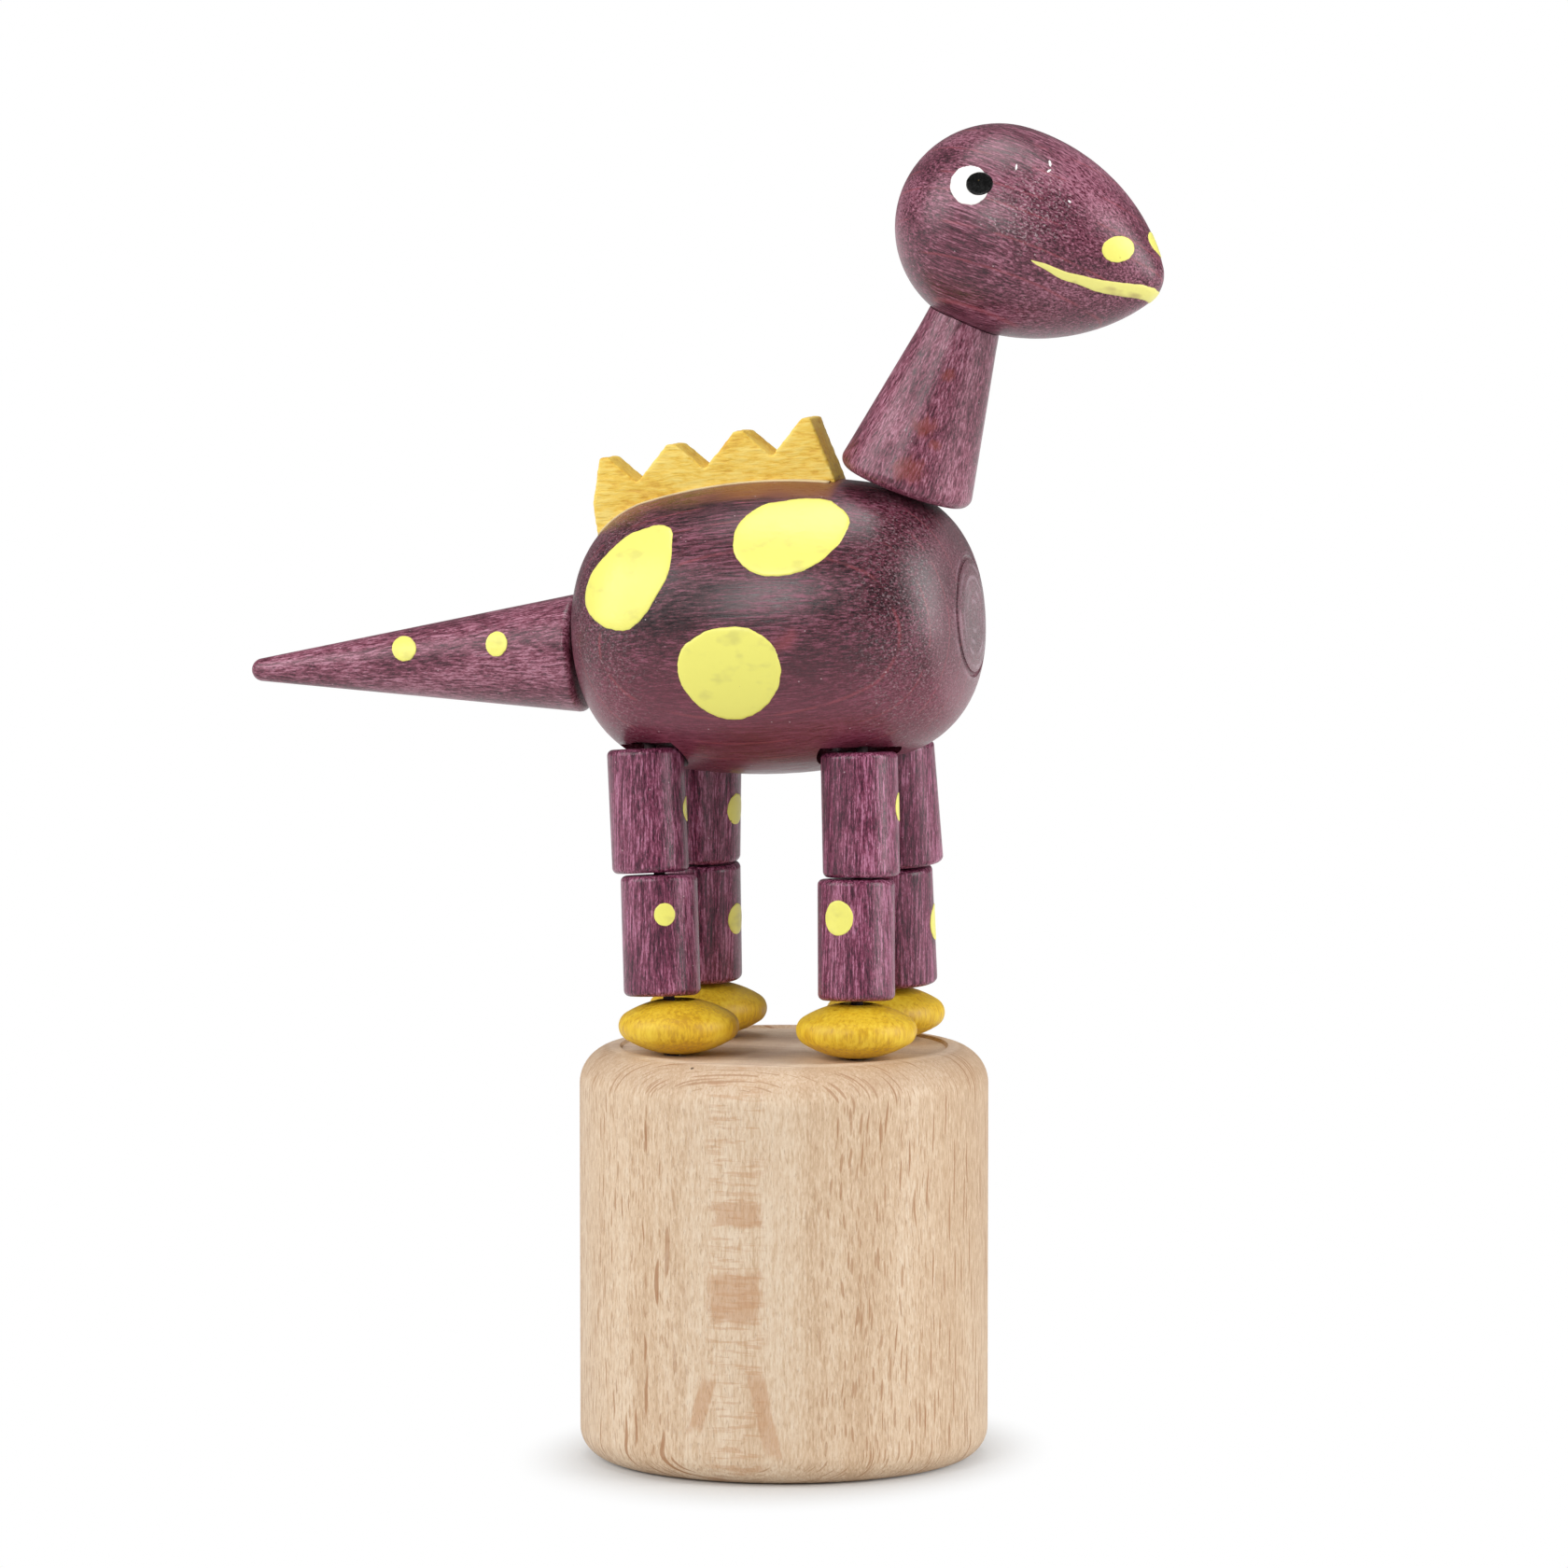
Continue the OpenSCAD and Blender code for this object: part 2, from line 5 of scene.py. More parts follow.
import bmesh
import bpy
from mathutils import Euler, Matrix, Vector, noise
from mathutils.bvhtree import BVHTree
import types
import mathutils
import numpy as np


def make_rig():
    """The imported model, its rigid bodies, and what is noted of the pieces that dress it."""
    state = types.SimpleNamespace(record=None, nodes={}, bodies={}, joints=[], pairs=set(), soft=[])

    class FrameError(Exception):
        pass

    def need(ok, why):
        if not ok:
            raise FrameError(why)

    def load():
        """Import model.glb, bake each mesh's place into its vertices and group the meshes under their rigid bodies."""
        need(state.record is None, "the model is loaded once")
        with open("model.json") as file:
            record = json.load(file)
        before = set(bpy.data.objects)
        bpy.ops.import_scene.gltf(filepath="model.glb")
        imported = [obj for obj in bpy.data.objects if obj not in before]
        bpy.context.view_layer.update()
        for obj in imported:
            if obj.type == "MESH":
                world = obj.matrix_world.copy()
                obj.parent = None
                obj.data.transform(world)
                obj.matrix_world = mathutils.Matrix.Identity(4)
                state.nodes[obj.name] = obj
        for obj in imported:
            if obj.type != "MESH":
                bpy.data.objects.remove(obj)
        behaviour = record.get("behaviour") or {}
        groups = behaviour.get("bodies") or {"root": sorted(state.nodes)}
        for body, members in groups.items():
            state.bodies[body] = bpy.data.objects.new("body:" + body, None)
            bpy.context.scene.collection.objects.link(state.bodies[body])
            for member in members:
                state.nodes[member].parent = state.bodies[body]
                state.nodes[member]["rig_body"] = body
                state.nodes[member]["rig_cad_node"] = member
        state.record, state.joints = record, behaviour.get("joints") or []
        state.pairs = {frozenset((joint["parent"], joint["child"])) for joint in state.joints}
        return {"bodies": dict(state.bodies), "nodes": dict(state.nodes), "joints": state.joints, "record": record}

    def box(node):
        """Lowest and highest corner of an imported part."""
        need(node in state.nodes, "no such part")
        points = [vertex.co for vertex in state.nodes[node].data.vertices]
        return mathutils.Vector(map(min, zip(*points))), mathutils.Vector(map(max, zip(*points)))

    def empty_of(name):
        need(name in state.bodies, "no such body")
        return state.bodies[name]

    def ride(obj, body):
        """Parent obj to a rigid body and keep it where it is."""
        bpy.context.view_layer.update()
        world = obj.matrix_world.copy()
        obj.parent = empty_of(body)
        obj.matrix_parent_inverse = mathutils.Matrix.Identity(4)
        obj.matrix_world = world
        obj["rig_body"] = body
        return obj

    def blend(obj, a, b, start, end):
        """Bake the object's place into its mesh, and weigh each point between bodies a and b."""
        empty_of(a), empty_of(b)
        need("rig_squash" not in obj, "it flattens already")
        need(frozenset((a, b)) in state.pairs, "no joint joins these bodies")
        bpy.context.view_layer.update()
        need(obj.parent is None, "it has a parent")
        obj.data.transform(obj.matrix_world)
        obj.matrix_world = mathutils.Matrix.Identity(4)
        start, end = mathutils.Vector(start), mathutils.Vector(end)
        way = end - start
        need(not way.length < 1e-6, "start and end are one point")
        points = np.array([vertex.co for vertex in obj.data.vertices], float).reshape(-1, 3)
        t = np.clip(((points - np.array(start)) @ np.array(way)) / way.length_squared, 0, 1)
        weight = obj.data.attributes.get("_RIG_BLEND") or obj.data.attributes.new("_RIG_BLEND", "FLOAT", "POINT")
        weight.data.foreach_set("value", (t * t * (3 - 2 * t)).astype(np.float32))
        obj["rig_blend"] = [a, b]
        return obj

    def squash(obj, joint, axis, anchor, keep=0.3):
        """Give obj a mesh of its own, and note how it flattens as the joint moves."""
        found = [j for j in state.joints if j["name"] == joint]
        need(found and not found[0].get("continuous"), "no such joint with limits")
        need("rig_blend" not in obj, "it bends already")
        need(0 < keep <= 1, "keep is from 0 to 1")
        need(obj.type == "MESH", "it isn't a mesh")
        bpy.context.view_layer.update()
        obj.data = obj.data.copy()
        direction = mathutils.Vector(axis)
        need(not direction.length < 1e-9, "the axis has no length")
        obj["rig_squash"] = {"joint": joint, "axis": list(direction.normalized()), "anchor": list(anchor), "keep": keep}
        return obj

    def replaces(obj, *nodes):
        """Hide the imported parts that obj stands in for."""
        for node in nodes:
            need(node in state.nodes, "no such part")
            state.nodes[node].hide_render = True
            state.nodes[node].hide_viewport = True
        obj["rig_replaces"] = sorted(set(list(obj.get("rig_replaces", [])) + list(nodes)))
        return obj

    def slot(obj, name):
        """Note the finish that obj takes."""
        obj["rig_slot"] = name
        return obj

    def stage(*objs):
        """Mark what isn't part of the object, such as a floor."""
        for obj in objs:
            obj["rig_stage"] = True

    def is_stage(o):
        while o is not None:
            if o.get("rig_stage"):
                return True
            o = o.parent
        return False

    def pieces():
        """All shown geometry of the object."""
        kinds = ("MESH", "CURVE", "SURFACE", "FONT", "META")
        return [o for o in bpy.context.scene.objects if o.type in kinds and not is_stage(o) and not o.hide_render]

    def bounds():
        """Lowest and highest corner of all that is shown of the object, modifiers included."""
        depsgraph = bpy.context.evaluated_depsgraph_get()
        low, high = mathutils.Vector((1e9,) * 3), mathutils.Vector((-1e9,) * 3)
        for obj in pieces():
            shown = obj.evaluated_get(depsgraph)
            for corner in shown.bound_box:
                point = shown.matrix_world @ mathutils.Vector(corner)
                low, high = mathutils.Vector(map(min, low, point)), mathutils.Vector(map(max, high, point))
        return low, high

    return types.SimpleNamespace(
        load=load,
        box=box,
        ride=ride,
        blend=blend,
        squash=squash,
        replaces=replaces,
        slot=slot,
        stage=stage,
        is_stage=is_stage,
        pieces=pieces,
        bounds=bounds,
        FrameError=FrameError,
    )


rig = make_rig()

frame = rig.load()
nodes = frame["nodes"]
joints = {joint["name"]: joint for joint in frame["joints"]}
cad_low, cad_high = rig.bounds()

MM = 0.001
UP = Vector((0, 0, 1))
SIDES = ("front_right", "front_left", "rear_right", "rear_left")

# How the photograph was taken, and how large one of its pixels is at the target
PHOTO_PIXELS = 1680
PHOTO_MIDDLE = Vector((841, 840))
PIXEL = 0.0683 * MM
VIEW_AZIMUTH = math.radians(12)
VIEW_ELEVATION = math.radians(5.1)
VIEW_DISTANCE = 600 * MM
VIEW_TARGET = Vector((0, 0, 49.5 * MM))
VIEW_BACK = Vector((math.sin(VIEW_AZIMUTH) * math.cos(VIEW_ELEVATION),
                    -math.cos(VIEW_AZIMUTH) * math.cos(VIEW_ELEVATION),
                    math.sin(VIEW_ELEVATION)))
VIEW_RIGHT = Vector((math.cos(VIEW_AZIMUTH), math.sin(VIEW_AZIMUTH), 0))
VIEW_UP = VIEW_BACK.cross(VIEW_RIGHT)
EYE_POINT = VIEW_TARGET + VIEW_DISTANCE * VIEW_BACK

# Lines of the animal
LATERAL = Vector(joints["neck_bow"]["axis"])
FORWARD = LATERAL.cross(UP)
BODY_PITCH = math.radians(4)
BODY_AXIS = math.cos(BODY_PITCH) * FORWARD + math.sin(BODY_PITCH) * UP
NECK_TILT = math.radians(20.5)
NECK_AXIS = math.sin(NECK_TILT) * FORWARD + math.cos(NECK_TILT) * UP
HEAD_TURN = math.radians(-12)
HEAD_PITCH = math.radians(17.5)
HEAD_LEVEL = Matrix.Rotation(HEAD_TURN, 3, UP) @ FORWARD
HEAD_AXIS = math.cos(HEAD_PITCH) * HEAD_LEVEL - math.sin(HEAD_PITCH) * UP
HEAD_UP = math.sin(HEAD_PITCH) * HEAD_LEVEL + math.cos(HEAD_PITCH) * UP
FACE_TURN = math.radians(-6)
FACE_LATERAL = Matrix.Rotation(FACE_TURN, 3, UP) @ UP.cross(HEAD_LEVEL)

# Where the cords run
CORD_RADIUS = 0.42 * MM
CORD_ASIDE = 0.47 * MM
DECK_Z = 30.1 * MM
HIP_Z = 52.69 * MM
HOLES = {"front_right": (6.6, -5.9), "front_left": (6.6, 5.9),
         "rear_right": (-7.0, -5.9), "rear_left": (-7.0, 5.9)}
HIPS = {"front_right": (6.71, -4.4), "front_left": (8.06, 4.4),
        "rear_right": (-9.07, -4.4), "rear_left": (-7.28, 4.4)}
NECK_FOOT = Vector((8.987, -0.492, 71.366)) * MM
NECK_TOP = NECK_FOOT + 12.6 * MM * NECK_AXIS
TAIL_ROOT = Vector((-15.16, 0.774, 58.854)) * MM
WELL_TOP = 23.3 * MM
BUTTON_TOP = 10.5 * MM
BUTTON_FACE = 6.0 * MM
BUTTON_TRAVEL = 5.5 * MM


def box_middle(node):
    low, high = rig.box(node)
    return (low + high) / 2


def volume_middle(node):
    """The middle of a closed node's volume"""
    mesh = nodes[node].data
    total = 0
    middle = Vector()
    for face in mesh.polygons:
        a, b, c = (mesh.vertices[i].co for i in face.vertices)
        volume = a.dot(b.cross(c))
        total += volume
        middle += volume * (a + b + c) / 4
    return middle / total


BODY_MIDDLE = box_middle("body")
HEAD_MIDDLE = volume_middle("head")
BODY_MIRROR = (BODY_MIDDLE, LATERAL)
FACE_MIRROR = (HEAD_MIDDLE, FACE_LATERAL)


# Colours and finishes
def paint(code):
    """A colour written as in a picture editor, as the linear values that shaders take"""
    shares = [int(code[i:i + 2], 16) / 255 for i in (1, 3, 5)]
    return tuple(s / 12.92 if s <= 0.04045 else ((s + 0.055) / 1.055) ** 2.4 for s in shares) + (1,)


class Finish:
    """A material under construction, with short calls for the nodes that the finishes share"""

    def __init__(self, name):
        self.material = bpy.data.materials.new(name)
        self.material.use_nodes = True
        self.tree = self.material.node_tree
        self.surface = self.tree.nodes["Principled BSDF"]

    def put(self, socket, value):
        if isinstance(value, bpy.types.NodeSocket):
            self.tree.links.new(value, socket)
        else:
            socket.default_value = value

    def set(self, **values):
        for name, value in values.items():
            self.put(self.surface.inputs[name.replace("_", " ")], value)
        return self.material

    def node(self, kind, inputs, output=0, **settings):
        made = self.tree.nodes.new(kind)
        for name, value in settings.items():
            setattr(made, name, value)
        for name, value in inputs.items():
            self.put(made.inputs[name], value)
        return made.outputs[output]

    def place(self):
        return self.node("ShaderNodeTexCoord", {}, "Object")

    def turned(self, turn, offset):
        """Places in millimetres, turned and then moved"""
        return self.node("ShaderNodeMapping", {"Vector": self.place(), "Scale": (1 / MM,) * 3,
                                               "Rotation": turn, "Location": offset})

    def along(self, axis, offset):
        """Places in millimetres, turned so that the grain runs along Z"""
        return self.turned(axis.rotation_difference(UP).to_euler(), offset)

    def scaled(self, vector, x, y, z):
        return self.node("ShaderNodeMapping", {"Vector": vector, "Scale": (x, y, z)})

    def noise(self, vector, detail=3.0, roughness=0.55):
        return self.node("ShaderNodeTexNoise", {"Vector": vector, "Scale": 1.0, "Detail": detail,
                                                "Roughness": roughness})

    def cells(self, vector):
        """Distance from the nearest of many scattered points, and a chance value for that point"""
        made = self.tree.nodes.new("ShaderNodeTexVoronoi")
        made.inputs["Scale"].default_value = 1.0
        self.put(made.inputs["Vector"], vector)
        return made.outputs["Distance"], self.part(made.outputs["Color"], "X")

    def band(self, value, low, high, to_low=0.0, to_high=1.0):
        return self.node("ShaderNodeMapRange", {"Value": value, "From Min": low, "From Max": high,
                                                "To Min": to_low, "To Max": to_high},
                         interpolation_type="SMOOTHSTEP")

    def math(self, operation, first, second=0.0):
        return self.node("ShaderNodeMath", {0: first, 1: second}, operation=operation)

    def sum(self, *parts):
        """Textures added together, each with its weight"""
        total = None
        for value, weight in parts:
            share = self.math("MULTIPLY", value, weight)
            total = share if total is None else self.math("ADD", total, share)
        return total

    def product(self, *values):
        total = values[0]
        for value in values[1:]:
            total = self.math("MULTIPLY", total, value)
        return total

    def dot(self, vector, direction):
        return self.node("ShaderNodeVectorMath", {0: vector, 1: tuple(direction)}, 1, operation="DOT_PRODUCT")

    def from_point(self, point):
        return self.node("ShaderNodeVectorMath", {0: self.place(), 1: tuple(point)}, operation="SUBTRACT")

    def mix(self, share, first, second):
        return self.node("ShaderNodeMix", {0: share, 6: first, 7: second}, 2, data_type="RGBA")

    def ramp(self, value, *stops):
        made = self.tree.nodes.new("ShaderNodeValToRGB")
        self.put(made.inputs[0], value)
        while len(made.color_ramp.elements) < len(stops):
            made.color_ramp.elements.new(0.5)
        for element, (place, colour) in zip(made.color_ramp.elements, stops):
            element.position = place
            element.color = paint(colour)
        return made.outputs[0]

    def part(self, vector, axis):
        return self.node("ShaderNodeSeparateXYZ", {"Vector": vector}, axis)

    def bump(self, height, depth):
        return self.node("ShaderNodeBump", {"Height": height, "Distance": depth, "Strength": 1.0})


def ring_lines(finish, colour, wood, direction, period, at):
    """Thin broken reddish lines where growth rings come to the surface"""
    sway = finish.noise(finish.scaled(wood, 0.14, 0.14, 0.05), 2.0, 0.5)
    depth = finish.dot(finish.from_point(at), direction)
    depth = finish.sum((finish.math("ABSOLUTE", depth), 1 / (period * MM)), (sway, 0.5))
    turn = finish.math("FRACT", depth)
    line = finish.band(finish.math("ABSOLUTE", finish.math("SUBTRACT", turn, 0.5)), 0.06, 0.0)
    broken = finish.band(finish.noise(finish.scaled(wood, 0.35, 0.35, 0.25), 2.0, 0.5), 0.42, 0.55, 0.0, 0.45)
    return finish.mix(finish.product(line, broken), colour, paint("#9c4650"))


def stained_wood(name, axis, seed, shades, extras=(), rough=None):
    """Wood under a thin satin stain: short streaks along the grain, dark pores, pale fibres and dust.
    Where rough is given, it says how rough a wood is left that is rubbed smooth elsewhere."""
    finish = Finish(name)
    wood = finish.along(axis, (seed * 7.3, seed * 3.1, seed * 5.7))
    fibres = finish.noise(finish.scaled(wood, 7.0, 7.0, 0.3), 5.0, 0.65)
    grit = finish.noise(finish.scaled(wood, 13.0, 13.0, 3.4), 3.0, 0.7)
    clouds = finish.noise(finish.scaled(wood, 0.30, 0.30, 0.12), 3.0, 0.55)
    tone = finish.sum((fibres, 0.52), (grit, 0.28), (clouds, 0.20))
    colour = finish.ramp(finish.band(tone, 0.40, 0.60), *zip((0.0, 0.35, 0.65, 1.0), shades))
    pores = finish.band(finish.noise(finish.scaled(wood, 9.0, 9.0, 1.3), 2.0, 0.5), 0.58, 0.68, 0.0, 0.75)
    colour = finish.mix(pores, colour, paint(shades[0]))
    for extra in extras:
        colour = extra(finish, colour, wood)
    dust, _ = finish.cells(finish.scaled(wood, 0.9, 0.9, 0.9))
    colour = finish.mix(finish.band(dust, 0.06, 0.035, 0.0, 0.7), colour, paint("#cdb2b8"))
    if rough:
        raised = finish.noise(finish.scaled(wood, 7.0, 7.0, 0.3), 1.0, 0.5)
        height = finish.sum((raised, 1.0), (finish.product(grit, rough(finish)), 1.0), (pores, -0.3))
    else:
        height = finish.sum((fibres, 1.0), (grit, 0.8), (pores, -0.7))
    finish.set(Base_Color=colour, Roughness=finish.band(fibres, 0.3, 0.7, 0.24, 0.42), Specular_IOR_Level=0.5,
               Normal=finish.bump(height, 0.011 * MM))
    return finish.material


# The broad figure on the front of the base: middle, half width, half height and lean in photograph pixels
BASE_FIGURE = ((791, 1302, 25, 12, 0), (788, 1392, 26, 26, 3),
               (753, 1506, 8, 30, -16), (820, 1518, 9, 42, 12))
# The column of fine level lines that the figure stands in: middle and half width
BASE_COLUMN = (790, 1385, 30)


def base_figure(finish, colour, wood):
    """Broad soft patches where the ribbons of the wood are seen flat, in a column of fine level lines"""
    near = finish.band(finish.part(finish.place(), "Y"), -8 * MM, -11 * MM)
    tree = surface("base")
    edge = finish.noise(finish.scaled(wood, 0.9, 0.9, 0.7), 3.0, 0.6)
    x, y, half_wide = BASE_COLUMN
    aside = finish.dot(finish.from_point(seen(tree, x, y)[0]), VIEW_RIGHT / (half_wide * PIXEL))
    column = finish.band(finish.sum((finish.math("ABSOLUTE", aside), 1.0), (edge, 0.6)), 1.5, 1.0)
    lines = finish.band(finish.noise(finish.scaled(wood, 0.3, 0.3, 2.6), 3.0, 0.6), 0.51, 0.62, 0.0, 0.4)
    colour = finish.mix(finish.product(lines, column, near), colour, paint("#c08c60"))
    for x, y, half_wide, half_high, lean in BASE_FIGURE:
        middle, _ = seen(tree, x, y)
        spot = finish.from_point(middle)
        slope = math.tan(math.radians(lean))
        across = finish.dot(spot, (VIEW_RIGHT + slope * UP) / (half_wide * PIXEL))
        upward = finish.dot(spot, UP / (half_high * PIXEL))
        reach = finish.math("MAXIMUM", finish.math("ABSOLUTE", across), finish.math("ABSOLUTE", upward))
        share = finish.band(finish.sum((reach, 1.0), (edge, 0.9)), 1.65, 1.25, 0.0, 0.5)
        colour = finish.mix(finish.product(share, near), colour, paint("#bd8a60"))
    return colour


# Ribbons by scale across, through and along the grain, then the largest reach, the rarity and the strength
RIBBONS = (((0.05, 3.4, 0.15), 0.38, 1.2, 0.8), ((0.09, 4.2, 0.36), 0.36, 1.3, 0.6),
           ((0.3, 8.0, 0.6), 0.42, 0.9, 0.5))
# The grain is turned a little about the upright axis and fans out downwards. In millimetres: how far above a
# middle height its lines would meet, that height, and how far aside its middle line lies
GRAIN_TURN = math.radians(2.6)
GRAIN_FAN = 100
FAN_HEIGHT = 15
FAN_ASIDE = 0.3


def beech(name, seed, extras=()):
    """Bare sanded beech: ribbons across the grain show as dashes where they are seen end on"""
    finish = Finish(name)
    shift = Vector((seed * 3.7, seed * 2.3, seed * 5.1))
    wood = finish.turned(Euler((0, 0, GRAIN_TURN)), shift)
    fibres = finish.noise(finish.scaled(wood, 7.0, 7.0, 1.3), 4.0, 0.65)
    streaks = finish.noise(finish.scaled(wood, 3.0, 3.0, 0.16), 3.0, 0.6)
    bands = finish.noise(finish.scaled(wood, 0.4, 0.06, 0.02), 3.0, 0.5)
    tone = finish.sum((fibres, 0.5), (streaks, 0.2), (bands, 0.3))
    colour = finish.ramp(finish.band(tone, 0.34, 0.66), (0.0, "#c3a382"), (0.5, "#d8bd9f"), (1.0, "#e7d4bc"))
    for extra in extras:
        colour = extra(finish, colour, wood)
    facing = finish.node("ShaderNodeNewGeometry", {}, "Normal")
    flat_on = finish.math("ABSOLUTE", finish.part(facing, "Y"))
    slow = finish.scaled(wood, 0.1, 0.1, 0.12)
    sway = finish.node("ShaderNodeTexNoise", {"Vector": slow, "Scale": 1.0}, "Color")
    along = finish.part(wood, "Z")
    start = 1 - (FAN_HEIGHT + shift.z) / GRAIN_FAN
    fan = finish.math("ADD", finish.math("DIVIDE", along, GRAIN_FAN), start)
    aside = finish.math("SUBTRACT", finish.part(wood, "X"), shift.x + FAN_ASIDE)
    fanned = finish.node("ShaderNodeCombineXYZ", {"X": finish.product(aside, fan),
                                                  "Y": finish.part(wood, "Y"), "Z": along})
    bent = finish.node("ShaderNodeVectorMath", {0: fanned, 1: sway}, operation="ADD")
    for scales, reach, rarity, strength in RIBBONS:
        far, chance = finish.cells(finish.scaled(bent, *scales))
        size = finish.math("MULTIPLY", finish.math("POWER", chance, rarity), reach)
        ribbon = finish.band(finish.math("SUBTRACT", far, size), 0.01, -0.06)
        share = finish.product(ribbon, finish.band(flat_on, 0.985, 0.9, 0.0, strength))
        colour = finish.mix(share, colour, paint("#a5764f"))
    pores = finish.band(finish.noise(finish.scaled(wood, 9.0, 9.0, 2.0), 2.0, 0.5), 0.60, 0.70, 0.0, 0.35)
    colour = finish.mix(pores, colour, paint("#b28c6c"))
    specks, _ = finish.cells(finish.scaled(wood, 0.15, 0.15, 0.15))
    colour = finish.mix(finish.band(specks, 0.026, 0.016), colour, paint("#3a2618"))
    # Darker on the rounded edge between side and top; the flat top is painted paler, a painted reflection of the white
    # surroundings seen at a grazing angle
    upward = finish.part(facing, "Z")
    rounding = finish.product(finish.band(upward, 0.15, 0.5, 0.0, 0.25), finish.band(upward, 0.99, 0.95))
    colour = finish.mix(rounding, colour, paint("#b08a68"))
    colour = finish.mix(finish.band(upward, 0.95, 0.99, 0.0, 0.35), colour, paint("#ecd9c6"))
    finish.set(Base_Color=colour, Roughness=finish.band(fibres, 0.3, 0.7, 0.5, 0.68),
               Normal=finish.bump(finish.sum((fibres, 1.0), (pores, -2.0)), 0.025 * MM))
    return finish.material


def yellow_wood(name, axis, seed, shades, dash, depth):
    """Wood under a golden yellow stain, with its fibres standing up a little"""
    finish = Finish(name)
    wood = finish.along(axis, (seed * 4.1, seed * 6.7, seed * 2.9))
    fibres = finish.noise(finish.scaled(wood, 3.6, 3.6, dash), 4.0, 0.6)
    lines = finish.noise(finish.scaled(wood, 7.0, 7.0, dash), 3.0, 0.6)
    clouds = finish.noise(finish.scaled(wood, 0.35, 0.35, 0.25), 2.0, 0.5)
    tone = finish.band(finish.sum((fibres, 0.5), (clouds, 0.3), (lines, 0.2)), 0.36, 0.64)
    colour = finish.ramp(tone, *zip((0.0, 0.4, 1.0), shades))
    colour = finish.mix(finish.band(lines, 0.60, 0.70, 0.0, 0.35), colour, paint(shades[0]))
    finish.set(Base_Color=colour, Roughness=finish.band(fibres, 0.3, 0.7, 0.40, 0.60),
               Normal=finish.bump(finish.sum((fibres, 1.0), (lines, 0.8)), depth * MM))
    return finish.material


def brushed_paint(name, colour, thin, gloss, mottling, shine=0.5):
    """A drop of hobby paint, a little thin in places"""
    finish = Finish(name)
    spot = finish.along(UP, (0, 0, 0))
    clouds = finish.noise(finish.scaled(spot, 0.5, 0.5, 0.8), 2.0, 0.5)
    grit = finish.noise(finish.scaled(spot, 5, 5, 5), 3.0, 0.6)
    tint = finish.mix(finish.band(clouds, 0.54, 0.74, 0.0, mottling), paint(colour), paint(thin))
    holes, _ = finish.cells(finish.scaled(spot, 0.55, 0.55, 0.55))
    tint = finish.mix(finish.band(holes, 0.04, 0.025, 0.0, 0.7), tint, paint("#5d4a2a"))
    finish.set(Base_Color=tint, Roughness=finish.band(grit, 0.3, 0.7, gloss - 0.06, gloss + 0.08),
               Specular_IOR_Level=shine,
               Normal=finish.bump(finish.sum((grit, 0.6), (clouds, 1.5)), 0.02 * MM))
    return finish.material


def cord_thread():
    finish = Finish("cord_thread")
    spot = finish.along(UP, (0, 0, 0))
    twist = finish.noise(finish.scaled(spot, 4, 4, 9), 3.0, 0.6)
    colour = finish.ramp(twist, (0.3, "#3a2a2e"), (0.7, "#5c484c"))
    return finish.set(Base_Color=colour, Roughness=0.85, Normal=finish.bump(twist, 0.05 * MM))


def spring_wire():
    finish = Finish("spring_wire")
    spot = finish.along(UP, (0, 0, 0))
    drawn = finish.noise(finish.scaled(spot, 3, 3, 3), 4.0, 0.6)
    colour = finish.ramp(drawn, (0.3, "#8d9093"), (0.7, "#b9bcbe"))
    return finish.set(Base_Color=colour, Metallic=1.0, Roughness=finish.band(drawn, 0.3, 0.7, 0.22, 0.4))


def bare_band(finish, colour, wood):
    """The stain is thin and brown where it was wiped off along the crest"""
    turned = finish.from_point(BODY_MIDDLE)
    across = finish.math("ABSOLUTE", finish.dot(turned, LATERAL))
    onward = finish.dot(turned, FORWARD)
    sway = finish.noise(finish.scaled(wood, 0.8, 0.8, 0.2), 2.0, 0.5)
    edge = finish.sum((across, 1 / MM), (sway, 1.4))
    reach = finish.product(finish.band(onward, -7 * MM, -1 * MM), finish.band(onward, 5.4 * MM, 4.8 * MM))
    above = finish.band(finish.part(turned, "Z"), 4 * MM, 5 * MM)
    share = finish.product(finish.band(edge, 6.0, 5.0), reach, above, 0.95)
    return finish.mix(share, colour, paint("#7c4630"))


def chest_rings(finish, colour, wood):
    """Fine rings that the lathe left in the end grain of the chest"""
    turned = finish.from_point(BODY_MIDDLE)
    onward = finish.dot(turned, BODY_AXIS)
    square = finish.math("SUBTRACT", finish.node("ShaderNodeVectorMath", {0: turned, 1: turned}, 1,
                                                 operation="DOT_PRODUCT"), finish.math("POWER", onward, 2.0))
    radius = finish.math("SQRT", finish.math("MAXIMUM", square, 0.0))
    wave = finish.math("SINE", finish.math("MULTIPLY", radius, 7.2 / MM))
    # The flat end is painted paler: partly its greyer end grain, partly a painted highlight of the light from the right
    flat = finish.band(onward, 12.6 * MM, 13.6 * MM)
    colour = finish.mix(finish.math("MULTIPLY", flat, 0.25), colour, paint("#9a7880"))
    broken = finish.band(finish.noise(finish.scaled(wood, 0.7, 0.7, 0.7), 3.0, 0.6), 0.42, 0.62, 0.0, 0.45)
    inside = finish.band(radius, 5.4 * MM, 4.0 * MM)
    share = finish.product(finish.band(wave, 0.0, 1.0), flat, broken, inside)
    return finish.mix(share, colour, paint("#b093a0"))


def lit_belly(finish, colour, wood):
    """Painted light from below: the colour turns lighter and redder towards the underside, as if the floor lit the
    belly
    """
    share = finish.band(finish.part(finish.from_point(BODY_MIDDLE), "Z"), 1 * MM, -7 * MM, 0.0, 0.45)
    return finish.mix(share, colour, paint("#8a3a50"))


